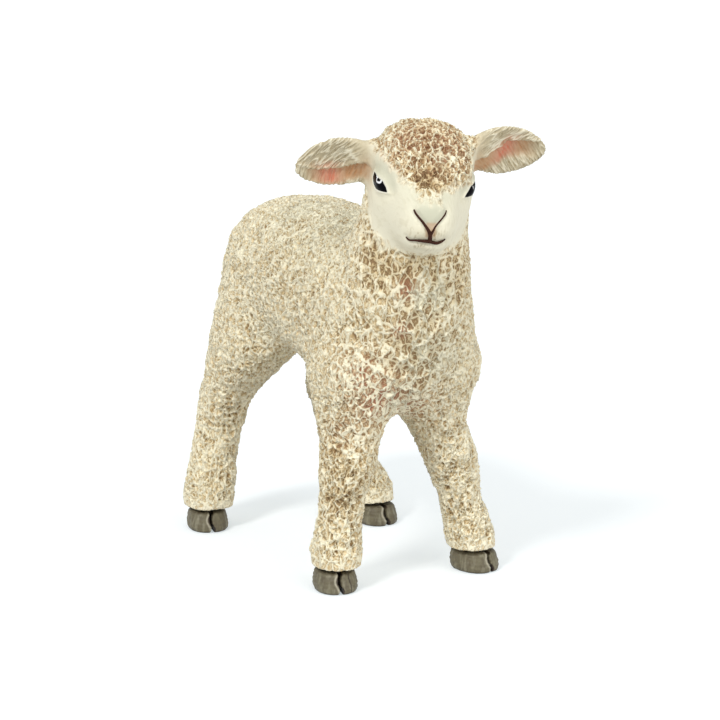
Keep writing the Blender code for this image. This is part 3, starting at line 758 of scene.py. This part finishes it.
# Cell size, way of the locks, how long they are over their width, a seed, the share of the
# height that is the crests', the share that is each hollow's own level, and the share of hairs
CURL_KINDS = {
    "rump": ((1.05, (0.2, -0.3, 1.0), 1.3, 100), 0.60, 0.40, 0.20),
    "flank": ((1.00, (0.1, -0.7, 0.9), 1.8, 150), 0.60, 0.38, 0.40),
    "front": ((0.95, (0.0, -0.2, 1.0), 2.2, 200), 0.62, 0.38, 0.40),
    "chest": ((1.30, (0.1, -0.2, 1.0), 2.1, 250), 0.50, 0.62, 0.10),
    "legs": ((1.00, (0.0, 0.0, 1.0), 1.8, 300), 0.62, 0.38, 0.25),
    "cap": ((0.80, (0.2, 0.3, 1.0), 1.5, 400), 0.68, 0.42, 0.25),
}
FINE_CURLS = (0.60, (0.0, -0.5, 1.0), 1.4, 500)
RIM = 0.10
CROWN_DROP = 0.34 * MM
TUFT_HEIGHT = 0.13 * MM
RELIEF_FLOOR = 0.20
RELIEF_SPAN = 0.86


def region_shares(points):
    """How much each kind of curl has of every point. They add up to 1."""
    x, y, z = (points / MM).T
    head = in_head(points)
    cap = smooth_step(-5.5, -3.5, head[:, 2]) * (np.linalg.norm(head, axis=1) < HEAD_REACH)
    body = 1 - cap
    legs = smooth_step(19, 15, z)
    chest = bell((x + 2.2) / 3.6) * smooth_step(-9.5, -12.5, y) * smooth_step(14, 18.5, z) * body
    legs = legs * (1 - chest)
    trunk = np.clip(1 - legs - chest - cap, 0, 1)
    front = smooth_step(-8.0, -11.0, y)
    rump = smooth_step(4.0, 8.0, y)
    return {
        "rump": trunk * rump,
        "flank": trunk * (1 - rump) * (1 - front),
        "front": trunk * front,
        "chest": chest,
        "legs": legs,
        "cap": cap,
    }


def crest_profile(wall, rim):
    """A thin crest with a broader foot."""
    return 0.65 * bell(wall / rim) + 0.35 * bell(wall / (2.3 * rim))


def spots_share(at, spots):
    """The strongest of several soft round spots at points in millimetres."""
    share = np.zeros(len(at))
    for place, reach, strength in spots:
        share = np.maximum(share, strength * bell(np.linalg.norm(at - place, axis=1) / reach))
    return share


def fleece_relief(points):
    """The curls at rows of points, from 0 in the deepest hollows to about 1 on the crests."""
    at = points / MM
    relief = np.zeros(len(points))
    shares = region_shares(points)
    for name, (kind, crest_part, level_part, hair_part) in CURL_KINDS.items():
        here = shares[name] > 0.01
        if here.any():
            wall, number = curls(at[here], *kind)
            curled = crest_part * crest_profile(wall, RIM) + level_part * number
            hairy = 0.78 * strands(at[here], kind[1], kind[3] + 20) + 0.22 * number
            relief[here] += shares[name][here] * (curled + hair_part * (hairy - curled))
    wall, number = curls(at, *FINE_CURLS)
    pads = np.clip(shares["chest"] * 1.3, 0, 1)
    fine = crest_profile(wall, 0.7 * RIM) * (1 - 0.75 * pads)
    relief = np.maximum(relief, 0.55 * fine + 0.35 * relief) + 0.14 * fine + 0.08 * number
    return np.clip((relief - RELIEF_FLOOR) / RELIEF_SPAN, 0, 1.1)


def coat(mesh, lines=()):
    """Raises the curls on a fair mesh and stores what its paint needs."""
    settings = bpy.context.scene.lamb_coat
    points = mesh_points(mesh)
    normals = mesh_normals(mesh)
    at = points / MM
    relief = fleece_relief(points)
    relief += (0.5 - relief) * spots_share(at, SMOOTH_SPOTS)
    face = face_share(points)
    ears = ear_share(points)
    wool = (1 - face) * (1 - ears)
    tuft = perlin(at / 2.4, 60) + 0.6 * perlin(at / 1.2, 61)
    rims = 0.2 + 0.8 * smooth_step(2.6, 4.4, at[:, 2])
    height = (settings.curl_height * (relief - 0.42) + TUFT_HEIGHT * tuft) * wool * rims
    head = in_head(points)
    crown = smooth_step(0.5, 3.5, head[:, 2]) * (np.linalg.norm(head, axis=1) < HEAD_REACH)
    height -= CROWN_DROP * crown * wool
    blush = spots_share(at, BLUSH_SPOTS) * wool
    cool = spots_share(at, COOL_SPOTS) * wool
    # Darker spots between the curls, partly painted shade
    deep = spots_share(at, DEEP_SPOTS) * wool
    warm = np.zeros(len(points))
    shade = np.zeros(len(points))
    lid = np.zeros(len(points))
    crest = relief * rims + 0.75 * (1 - rims)
    if lines:
        bare = face * (1 - ears)
        face_height, lid, face_warm, face_cool, face_shade = face_relief(points, lines)
        ear_height, ear_pink, ear_warm, ear_shade, ear_crest = ear_relief(points, normals)
        height += bare * face_height + ears * ear_height
        blush = blush + ears * ear_pink
        warm = bare * face_warm + ears * ear_warm
        cool = cool + bare * face_cool
        shade = bare * face_shade + ears * ear_shade
        lid = lid * face
        crest = crest * wool + ears * ear_crest + 0.5 * bare
    move_to(mesh, points + normals * height[:, None])
    store(mesh, crest=crest, wool=wool, ear=ears, deep=deep)
    store(mesh, blush=blush, warm=warm, cool=cool, shade=shade, lid=lid)


class Value:
    """A shader socket that Python's own signs do sums on."""

    def __init__(self, paint, socket):
        self.paint = paint
        self.socket = socket

    def sum(self, operation, *values, clamp=False):
        settings = {"operation": operation, "use_clamp": clamp}
        return self.paint.node("ShaderNodeMath", settings, *values)

    def __add__(self, other):
        return self.sum("ADD", self, other)

    def __sub__(self, other):
        return self.sum("SUBTRACT", self, other)

    def __mul__(self, other):
        return self.sum("MULTIPLY", self, other)

    def __rsub__(self, other):
        return self.sum("SUBTRACT", other, self)

    def clamped(self):
        return self.sum("ADD", self, 0.0, clamp=True)

    __radd__ = __add__


class Paint:
    """A material under a Principled shader, built node by node."""

    def __init__(self, name, **constants):
        self.material = bpy.data.materials.new(name)
        self.material.use_nodes = True
        self.tree = self.material.node_tree
        self.shader = self.tree.nodes["Principled BSDF"]
        for socket, value in constants.items():
            self.shader.inputs[socket.replace("_", " ")].default_value = value

    def plug(self, socket, value):
        if isinstance(value, Value):
            self.tree.links.new(value.socket, socket)
        elif socket.type == "RGBA":
            socket.default_value = (*value[:3], 1)
        elif value is not None:
            socket.default_value = value

    def node(self, kind, settings=None, *values, out=0, **named):
        made = self.tree.nodes.new(kind)
        for name, value in (settings or {}).items():
            if name == "stops":
                ramp = made.color_ramp
                for index, (place, colour) in enumerate(value):
                    stop = ramp.elements[index] if index < 2 else ramp.elements.new(place)
                    stop.position = place
                    stop.color = (*colour, 1)
            else:
                setattr(made, name, value)
        for index, value in enumerate(values):
            self.plug(made.inputs[index], value)
        for name, value in named.items():
            self.plug(made.inputs[name], value)
        return Value(self, made.outputs[out])

    def attribute(self, name):
        return self.node("ShaderNodeAttribute", {"attribute_name": name}, out="Fac")

    def place(self, turn=None, scale=(1, 1, 1)):
        """Places on the piece, as they are or turned and squeezed."""
        spot = self.node("ShaderNodeTexCoord", out="Object")
        if turn is None:
            return spot
        return self.node("ShaderNodeMapping", None, Vector=spot, Rotation=turn, Scale=scale)

    def noise(self, scale, detail=2.0, roughness=0.5, place=None):
        vector = place or self.place()
        return self.node(
            "ShaderNodeTexNoise", None, Vector=vector, Scale=scale, Detail=detail, Roughness=roughness
        )

    def crackle(self, scale, place):
        """How far a place is from the wall of a small cell, over the cell's size."""
        return self.node(
            "ShaderNodeTexVoronoi", {"feature": "DISTANCE_TO_EDGE"}, Vector=place, Scale=scale
        )

    def warped(self, scale, amount):
        """Places shifted about by noise."""
        shift = self.node("ShaderNodeTexNoise", None, Vector=self.place(), Scale=scale, out="Color")
        centred = self.node("ShaderNodeVectorMath", {"operation": "SUBTRACT"}, shift, (0.5, 0.5, 0.5))
        scaled = self.node(
            "ShaderNodeVectorMath", {"operation": "MULTIPLY"}, centred, (amount, amount, amount)
        )
        return self.node("ShaderNodeVectorMath", {"operation": "ADD"}, self.place(), scaled)

    def locks(self, scale, amount, squeeze):
        """Places shifted about and squeezed, so that a crackle over them runs in wavy locks."""
        bent = self.warped(scale, amount)
        return self.node("ShaderNodeVectorMath", {"operation": "MULTIPLY"}, bent, squeeze)

    def span(self, value, low, high):
        """A value taken from low and high to 0 and 1."""
        return self.node("ShaderNodeMapRange", {"clamp": True}, value, low, high, 0.0, 1.0)

    def mix(self, share, first, second):
        mixed = self.tree.nodes.new("ShaderNodeMix")
        mixed.data_type = "RGBA"
        self.plug(mixed.inputs[0], share)
        self.plug(mixed.inputs[6], first)
        self.plug(mixed.inputs[7], second)
        return Value(self, mixed.outputs[2])

    def bump(self, height, distance, strength=1.0):
        normal = self.node("ShaderNodeBump", None, Height=height, Distance=distance, Strength=strength)
        self.set("Normal", normal)

    def set(self, socket, value):
        self.plug(self.shader.inputs[socket], value)


def wool_colour(paint, level, rims, cool, blush):
    """The curls' colour from the hollows, partly painted shade, to the crests, partly a painted highlight,
    with cool pads and a pink wash.
    """
    settings = bpy.context.scene.lamb_coat
    fleece = paint.node(
        "ShaderNodeValToRGB",
        {
            "stops": (
                (0.02, tuple(settings.hollow_wash_and_shade)),
                (0.84, tuple(settings.crest_paint_and_highlight)),
                (0.22, tuple(settings.tan_wash_and_shade)),
                (0.50, tuple(settings.fleece_paint)),
            )
        },
        level,
    )
    low = 1 - paint.span(level, 0.15, 0.72)
    pads = cool * paint.span(level, 0.05, 0.40) * (1 - rims * 0.7) * 0.75
    fleece = paint.mix(pads, fleece, COOL_WOOL)
    return paint.mix((blush * low * 1.2).clamped(), fleece, BLUSHED_WOOL)


def skin_colour(paint, hair, crest, cool, blush):
    """The colour of the bare face and the ears, with fine hairs, washes, painted shade, pale lids and hair
    crests lit partly by a painted highlight.
    """
    settings = bpy.context.scene.lamb_coat
    strokes = paint.span(hair, 0.50, 0.66)
    shade = paint.attribute("shade")
    ear = paint.attribute("ear")
    bare = paint.mix(strokes * 0.25, tuple(settings.face_paint), HAIR_STROKE)
    bare = paint.mix(ear * 0.8, bare, EAR_GROUND)
    bare = paint.mix((cool * 0.9).clamped(), bare, COOL_SKIN)
    bare = paint.mix((shade * (0.4 + strokes * 0.8)).clamped(), bare, SHADED_SKIN)
    bare = paint.mix(paint.attribute("warm").clamped(), bare, WARM_SKIN)
    bare = paint.mix((blush * (0.75 + hair * 0.5)).clamped(), bare, tuple(settings.ear_paint))
    # Lighter crests of the ears' hairs, partly a painted highlight
    hairs = paint.span(crest, 0.55, 0.95) * ear * 0.75
    bare = paint.mix(hairs, bare, PALE_HAIR_AND_HIGHLIGHT)
    return paint.mix(paint.attribute("lid") * 0.5, bare, PALE_LID)


def coat_paint():
    """Cream paint with tan and brown washes in the hollows and dry-brushed crests, partly painted shade
    and painted highlight, with a painted shadow beside each crest line.
    """
    paint = Paint("painted_coat", Roughness=0.6, IOR=1.45)
    crest = paint.attribute("crest")
    wool = paint.attribute("wool")
    blush = paint.attribute("blush")
    cool = paint.attribute("cool")
    broad = paint.noise(260.0, 2.0)
    patchy = paint.noise(1100.0, 3.0)
    grain = paint.noise(5200.0, 2.0)
    lock_gap = paint.crackle(1350.0, paint.locks(1000.0, 0.0011, (1, 1, 0.6)))
    fine_gap = paint.crackle(2500.0, paint.locks(1900.0, 0.0005, (1, 1, 0.65)))
    lock_rim = 1 - paint.span(lock_gap, 0.04, 0.14)
    rims = lock_rim.sum("MAXIMUM", lock_rim, (1 - paint.span(fine_gap, 0.02, 0.13)) * 0.65)
    # A dark band just beside each crest line is a painted shadow
    foot = paint.span(lock_gap, 0.11, 0.17) * (1 - paint.span(lock_gap, 0.20, 0.38))
    # Darker spots, partly a darker wash and partly painted shade
    deep = paint.attribute("deep")
    uneven = (patchy - 0.5) * 0.30 + (broad - 0.5) * 0.30 - deep * 0.24
    level = crest * 0.74 + rims * (0.48 - deep * 0.14) - foot * 0.34 + uneven + 0.14
    fleece = wool_colour(paint, level, rims, cool, blush)
    hair = paint.noise(900.0, 3.0, place=paint.place((0.5, 0, HEAD_TURN), (6, 1, 1.6)))
    bare = skin_colour(paint, hair, crest, cool, blush)
    paint.set("Base Color", paint.mix(wool, bare, fleece))
    paint.set("Roughness", 0.50 + patchy * 0.2)
    rough = rims * wool + grain * 0.25 + hair * (1 - wool) * 0.4
    paint.bump(rough, 0.10 * MM, 0.9)
    return paint.material


def line_paint():
    """Dark brown paint of the nose and the mouth."""
    paint = Paint("brown_line_paint", Roughness=0.6, Specular_IOR_Level=0.15)
    uneven = paint.noise(3000.0, 2.0)
    paint.set("Base Color", paint.mix(uneven, *LINE_BROWNS))
    paint.bump(uneven, 0.01 * MM)
    return paint.material


def eye_paint():
    """Gloss black with a white glint."""
    paint = Paint("eye_gloss_paint", Roughness=0.25, Specular_IOR_Level=0.02)
    depth = paint.noise(1500.0, 1.0)
    black = paint.mix(depth, *EYE_BLACKS)
    paint.set("Base Color", paint.mix(paint.attribute("glint"), black, GLINT_WHITE))
    return paint.material


def horn_paint():
    """Grey-brown horn, mottled, with painted shade at the sole, under the wool and in the cleft, and a
    painted highlight beside the cleft.
    """
    settings = bpy.context.scene.lamb_hoof
    paint = Paint("horn_paint", IOR=1.45)
    mottle = paint.noise(1400.0, 4.0, 0.65)
    fine = paint.noise(6000.0, 2.0)
    grain = paint.noise(2200.0, 2.0, place=paint.place((0, 0, 0), (1, 1, 0.22)))
    horn = paint.mix(paint.span(mottle, 0.38, 0.66), DARK_HORN, tuple(settings.horn_paint))
    horn = paint.mix(paint.span(grain, 0.5, 0.75) * 0.5, horn, GRAINED_HORN)
    # A painted highlight beside the cleft
    horn = paint.mix(paint.attribute("pale") * 0.8, horn, HORN_HIGHLIGHT)
    horn = paint.mix(paint.attribute("dark"), horn, tuple(settings.hoof_shade_paint))
    paint.set("Base Color", horn)
    paint.set("Roughness", 0.42 + mottle * 0.25)
    paint.bump(fine * 0.4 + mottle * 0.6, 0.03 * MM, 0.8)
    return paint.material


PAINTS = {"coat": coat_paint, "line": line_paint, "eye": eye_paint, "horn": horn_paint}


def painted(mesh, name):
    """Gives a mesh its paint, which is made once."""
    kept = bpy.context.scene.get("paint_" + name)
    if kept is None:
        kept = PAINTS[name]()
        bpy.context.scene["paint_" + name] = kept
    mesh.materials.clear()
    mesh.materials.append(kept)


def new_piece(name, mesh, paint, slot, *nodes):
    """A finished piece, which rides on the figure and may stand for nodes."""
    mesh.name = name
    painted(mesh, paint)
    piece = new_object(name, mesh)
    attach(piece, "root")
    if nodes:
        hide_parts(*nodes)
    return piece


def cut_away(shape, place, normal):
    """Cuts off what lies beyond a plane and closes the cut with a flat, sharp-edged face."""
    whole = shape.verts[:] + shape.edges[:] + shape.faces[:]
    cut = bmesh.ops.bisect_plane(shape, geom=whole, plane_co=place, plane_no=normal, clear_outer=True)
    rim = [edge for edge in cut["geom_cut"] if isinstance(edge, bmesh.types.BMEdge)]
    if rim:
        lids = bmesh.ops.holes_fill(shape, edges=rim)["faces"]
        for edge in rim:
            edge.smooth = False
        bmesh.ops.triangulate(shape, faces=lids)


def drop_crumbs(shape):
    """Deletes the loose scraps that a cut through the curls can leave."""
    left = set(shape.verts)
    crumbs = []
    while left:
        island = {left.pop()}
        edge_of_island = set(island)
        while edge_of_island:
            around = {edge.other_vert(vert) for vert in edge_of_island for edge in vert.link_edges}
            edge_of_island = around - island
            island |= edge_of_island
        left -= island
        if len(island) < CRUMB:
            crumbs += island
    bmesh.ops.delete(shape, geom=crumbs, context="VERTS")


def coat_piece(name, mesh_name, planes, node, slot):
    """A closed piece of the coat between planes, which stands for a node."""
    shape = bmesh.new()
    shape.from_mesh(bpy.data.meshes[mesh_name])
    for place, normal in planes:
        cut_away(shape, Vector(place), Vector(normal))
    drop_crumbs(shape)
    return new_piece(name, mesh_of(shape, name), "coat", slot, node)


def face_lines():
    """The painted lines on the bare head skin, named by the piece that they belong to."""
    tree = tree_over(bpy.data.meshes["fair_head"])
    return {
        "nose_lines": [picture_line(table, tree) for table in (NOSE_RIGHT_LINE, NOSE_LEFT_LINE)],
        "mouth_line": [picture_line(MOUTH_LINE, tree)],
    }


def line_mesh(routes, tree):
    """Closed round threads of paint that lie along routes, a little sunk in the skin."""
    curve = bpy.data.curves.new("threads", "CURVE")
    curve.dimensions = "3D"
    curve.bevel_depth = 1.0
    curve.bevel_resolution = 3
    curve.use_fill_caps = True
    for route in routes:
        spline = curve.splines.new("POLY")
        spline.points.add(len(route) - 1)
        for point, row in zip(spline.points, route):
            place = Vector(row[:3])
            normal = tree.find_nearest(place)[1]
            point.co = (*(place - normal * LINE_SINK), 1)
            point.radius = row[3]
    threads = new_object("threads", curve)
    bpy.context.view_layer.update()
    graph = bpy.context.evaluated_depsgraph_get()
    mesh = bpy.data.meshes.new_from_object(threads.evaluated_get(graph))
    bpy.data.objects.remove(threads)
    bpy.data.curves.remove(curve)
    shape = bmesh.new()
    shape.from_mesh(mesh)
    bmesh.ops.remove_doubles(shape, verts=shape.verts, dist=0.002 * MM)
    bmesh.ops.triangulate(shape, faces=[face for face in shape.faces if len(face.verts) > 4])
    bmesh.ops.recalc_face_normals(shape, faces=shape.faces)
    shape.to_mesh(mesh)
    shape.free()
    mesh.shade_smooth()
    return mesh


def eye_mesh(side, tree, glint):
    """A low almond dome that follows the head's skin and goes into its socket."""
    eye = EyeShape(side)
    head = head_frame()
    out = head.to_3x3() @ Vector(eye.out)
    shape = bmesh.new()
    bmesh.ops.create_uvsphere(shape, u_segments=96, v_segments=40, radius=1)
    for vert in shape.verts:
        across, along, rise = vert.co.y, vert.co.x, vert.co.z
        reach = float(eye.reach(math.atan2(across, along)))
        flat = eye.centre + reach * (along * eye.along + across * eye.across)
        spot = head @ (Vector(flat) * MM)
        skin = tree.ray_cast(spot + out * 3 * MM, -out)[0] or spot
        vert.co = skin + out * rise * (EYE_DOME if rise > 0 else EYE_DEPTH)
    bmesh.ops.recalc_face_normals(shape, faces=shape.faces)
    mesh = mesh_of(shape, "eye")
    mesh.shade_smooth()
    drawn = np.concatenate([in_head(glint[:, :3]), glint[:, 3:] / MM], axis=1)
    away = line_gap(in_head(mesh_points(mesh)), drawn)
    store(mesh, glint=smooth_step(0.03, -0.01, away))
    return mesh


def in_hoof(points, node):
    """Points in a hoof's frame, in millimetres: -Y to the toe, Z from the sole."""
    x, y, turn = HOOF_STANCES[node]
    shift = points / MM - (x, y, 0)
    cos, sin = math.cos(turn), math.sin(turn)
    across = shift[:, 0] * cos + shift[:, 1] * sin
    back = shift[:, 1] * cos - shift[:, 0] * sin
    return np.stack([across, back, shift[:, 2]], axis=1)


def hoof_mesh(node):
    """Two worn claws with a wavy cleft, growth rings and a rolled upper edge."""
    settings = bpy.context.scene.lamb_hoof
    shape = bmesh.new()
    shape.from_mesh(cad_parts[node].data)
    bmesh.ops.remove_doubles(shape, verts=shape.verts, dist=0.001 * MM)
    mesh = evaluated(
        shape,
        ("REMESH", {"mode": "VOXEL", "voxel_size": settings.cell}),
        ("SMOOTH", {"factor": 0.5, "iterations": 6}),
    )
    points = mesh_points(mesh)
    normals = mesh_normals(mesh)
    x, y, z = in_hoof(points, node).T
    toe = smooth_step(CLEFT_END + 0.3, CLEFT_END - 0.3, y)
    wave = CLEFT_WAVE * np.sin(z * 3.1 + 0.6) * toe
    side = 1 - np.abs(normals[:, 2])
    bulge = WALL_BULGE * np.sin(np.clip(z / HOOF_TOP, 0, 1) * math.pi) * side
    uneven = perlin(points / MM / np.array([0.9, 0.9, 0.35]), 91) * WALL_WEAR
    rings = RING_HEIGHT * np.sin(z * 2 * math.pi / RING_STEP + 2.5 * perlin(points / MM / 1.2, 92))
    open_wall = smooth_step(0.0, 0.35, z) * smooth_step(HOOF_TOP + 0.1, HOOF_TOP - 0.2, z)
    height = (bulge + uneven + rings) * open_wall * side
    second = 0.0
    if node == "front_right_hoof":
        second = bell((x - 1.02 - 0.12 * np.sin(z * 2.4)) / 0.07) * toe
        height -= SPLIT_DEPTH * second * open_wall
    turn = HOOF_STANCES[node][2]
    across = np.array([math.cos(turn), math.sin(turn), 0])
    near_cleft = bell(x / 0.8) * open_wall
    moved = points + (normals * height[:, None] + across * (wave * near_cleft)[:, None]) * MM
    move_to(mesh, moved)
    # Painted shade in the cleft, in the front right hoof's split, at the sole and under the wool
    beside = np.abs(x - wave)
    inside = smooth_step(0.27, 0.19, beside) * toe
    sole = smooth_step(0.30, 0.08, z + 0.05 * uneven)
    collar = smooth_step(HOOF_TOP - 0.22, HOOF_TOP - 0.05, z)
    dark = np.maximum(np.maximum(inside, 0.7 * sole), np.maximum(0.4 * collar, 0.9 * second))
    # A pale band along one claw beside the cleft is a painted highlight
    pale = bell((beside - 0.36) / 0.10) * toe * (x < 0)
    store(mesh, dark=dark, pale=pale * (1 - sole))
    return mesh


class LAMB_OT_coat(bpy.types.Operator):
    """Sculpt the coat over the whole figure."""

    bl_idname = "lamb.coat"
    bl_label = "Sculpt Coat"

    def execute(self, context):
        settings = context.scene.lamb_coat
        levels = 1
        below = NECK_SEAM - NECK_OVERLAP * NECK_WAY
        body = fair_skin(BODY_SKIN_NODES, settings.cell, levels, soft_spots=NECK_FILL_SPOTS)
        body.name = "body_skin"
        coat(body)
        tail = fair_skin(("tail",), settings.cell, levels)
        tail.name = "tail_skin"
        coat(tail)
        head = fair_skin(HEAD_SKIN_NODES, settings.head_cell, levels, [(below, -NECK_WAY)])
        head.name = "head_skin"
        head.copy().name = "fair_head"
        lines = face_lines()
        coat(head, [route for routes in lines.values() for route in routes])
        return {"FINISHED"}


class LAMB_OT_torso(bpy.types.Operator):
    """Cut the body's coat into closed pieces along its length."""

    bl_idname = "lamb.torso"
    bl_label = "Body Coat"

    def execute(self, context):
        around = [((0, 0, LEG_SEAM), (0, 0, -1)), (NECK_SEAM, NECK_WAY)]
        names = ("chest", "shoulder", "flank", "loin", "rump")
        for name, front, back in zip(names, (None, *BODY_SEAMS), (*BODY_SEAMS, None)):
            planes = list(around)
            if front is not None:
                planes.append(((0, front, 0), (0, -1, 0)))
            if back is not None:
                planes.append(((0, back, 0), (0, 1, 0)))
            coat_piece(name + "_fleece", "body_skin", planes, "torso", "fleece")
        coat_piece("tail_fleece", "tail_skin", [], "tail", "fleece")
        return {"FINISHED"}


class LAMB_OT_legs(bpy.types.Operator):
    """Cut each leg's coat under the body."""

    bl_idname = "lamb.legs"
    bl_label = "Leg Coats"

    def execute(self, context):
        boxes = {node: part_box(node) for node in LEG_NODES}
        middle = sum((low + high for low, high in boxes.values()), Vector()) / (2 * len(boxes))
        for node, (low, high) in boxes.items():
            away = middle - (low + high) / 2
            planes = [
                ((0, 0, LEG_SEAM), (0, 0, 1)),
                (middle, (math.copysign(1, away.x), 0, 0)),
                (middle, (0, math.copysign(1, away.y), 0)),
            ]
            coat_piece(node + "_fleece", "body_skin", planes, node, "fleece")
        return {"FINISHED"}


class LAMB_OT_head(bpy.types.Operator):
    """Cut the head's skin into the head and the ears, and paint the lines of the face."""

    bl_idname = "lamb.head"
    bl_label = "Head and Ears"

    def execute(self, context):
        head = head_frame()
        across = head.to_3x3() @ Vector((1, 0, 0))
        left = head @ Vector((EAR_SEAM, 0, 0))
        right = head @ Vector((-EAR_SEAM, 0, 0))
        neck = (NECK_SEAM, -NECK_WAY)
        coat_piece("head_coat", "head_skin", [neck, (left, across), (right, -across)], "head", "face")
        coat_piece("left_ear_coat", "head_skin", [neck, (left, -across)], "left_ear", "ear")
        coat_piece("right_ear_coat", "head_skin", [neck, (right, across)], "right_ear", "ear")
        tree = tree_over(bpy.data.meshes["fair_head"])
        for name, routes in face_lines().items():
            new_piece(name, line_mesh(routes, tree), "line", "face")
        return {"FINISHED"}


class LAMB_OT_eyes(bpy.types.Operator):
    """Set an almond bead with a painted glint in each eye socket."""

    bl_idname = "lamb.eyes"
    bl_label = "Eyes"

    def execute(self, context):
        tree = tree_over(bpy.data.meshes["fair_head"])
        for node, side in EYE_SIDES.items():
            glint = picture_line(GLINT_LINES[node], tree)
            new_piece(node + "_bead", eye_mesh(side, tree, glint), "eye", "eye", node)
        return {"FINISHED"}


class LAMB_OT_hooves(bpy.types.Operator):
    """Wear and paint the four cloven hooves."""

    bl_idname = "lamb.hooves"
    bl_label = "Hooves"

    def execute(self, context):
        for node in HOOF_STANCES:
            new_piece(node + "_horn", hoof_mesh(node), "horn", "hoof", node)
        return {"FINISHED"}


def floor_paint(colour):
    """Pale paper that looks lighter to the camera than the light it gives the figure."""
    paint = Paint("floor_paper", Roughness=0.9)
    grain = paint.noise(400.0, 2.0)
    paint.set("Base Color", paint.mix(grain * 0.04, colour, (0.5, 0.5, 0.5)))
    path = paint.tree.nodes.new("ShaderNodeLightPath")
    seen = Value(paint, path.outputs["Is Camera Ray"])
    for name in ("Is Glossy Ray", "Is Transmission Ray"):
        seen = seen.sum("MAXIMUM", seen, Value(paint, path.outputs[name]))
    paint.set("Emission Color", paint.mix(seen, (0, 0, 0), FLOOR_GLOW))
    paint.shader.inputs["Emission Strength"].default_value = FLOOR_LIFT
    return paint.material


class LAMB_OT_stage(bpy.types.Operator):
    """Set the floor, the light and the camera."""

    bl_idname = "lamb.stage"
    bl_label = "Stage"

    def execute(self, context):
        settings = context.scene.lamb_stage
        shape = bmesh.new()
        bmesh.ops.create_grid(shape, x_segments=1, y_segments=1, size=3)
        floor = new_object("floor", mesh_of(shape, "floor"))
        floor.data.materials.append(floor_paint(tuple(settings.floor_paint)))
        world = bpy.data.worlds.new("studio")
        world.use_nodes = True
        sky = world.node_tree.nodes["Background"]
        sky.inputs["Color"].default_value = (1, 1, 1, 1)
        sky.inputs["Strength"].default_value = settings.sky_strength
        context.scene.world = world
        for name, (way, share, spread) in LAMPS.items():
            light = bpy.data.lights.new(name, "SUN")
            light.energy = settings.sun_strength * share
            light.angle = spread
            lamp = new_object(name, light)
            towards_light = view_frame().to_3x3() @ Vector(way)
            lamp.rotation_euler = towards_light.to_track_quat("Z", "Y").to_euler()
        camera = new_object("camera", bpy.data.cameras.new("camera"))
        camera.data.sensor_width = 36
        camera.data.lens = LENS_SHARE * camera.data.sensor_width
        camera.data.clip_start = MM
        camera.matrix_world = view_frame()
        context.scene.camera = camera
        context.scene.view_settings.view_transform = "Standard"
        return {"FINISHED"}


class LAMB_PT_panel(bpy.types.Panel):
    """Lists the steps that dress the lamb."""

    bl_idname = "LAMB_PT_panel"
    bl_label = "Toy Lamb"
    bl_space_type = "VIEW_3D"
    bl_region_type = "UI"
    bl_category = "Lamb"

    def draw(self, context):
        for step in STEPS:
            self.layout.operator(step.bl_idname)


STEPS = (
    LAMB_OT_coat,
    LAMB_OT_torso,
    LAMB_OT_legs,
    LAMB_OT_head,
    LAMB_OT_eyes,
    LAMB_OT_hooves,
    LAMB_OT_stage,
)
SETTINGS = {
    "lamb_coat": LambCoatSettings,
    "lamb_hoof": LambHoofSettings,
    "lamb_stage": LambStageSettings,
}


def register():
    for name, group in SETTINGS.items():
        bpy.utils.register_class(group)
        setattr(bpy.types.Scene, name, bpy.props.PointerProperty(type=group))
    for step in STEPS:
        bpy.utils.register_class(step)
    bpy.utils.register_class(LAMB_PT_panel)


def unregister():
    bpy.utils.unregister_class(LAMB_PT_panel)
    for step in reversed(STEPS):
        bpy.utils.unregister_class(step)
    for name, group in SETTINGS.items():
        delattr(bpy.types.Scene, name)
        bpy.utils.unregister_class(group)


def main():
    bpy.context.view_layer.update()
    register()
    bpy.ops.lamb.coat()
    bpy.ops.lamb.torso()
    bpy.ops.lamb.legs()
    bpy.ops.lamb.head()
    bpy.ops.lamb.eyes()
    bpy.ops.lamb.hooves()
    bpy.ops.lamb.stage()


if __name__ == "__main__":
    main()
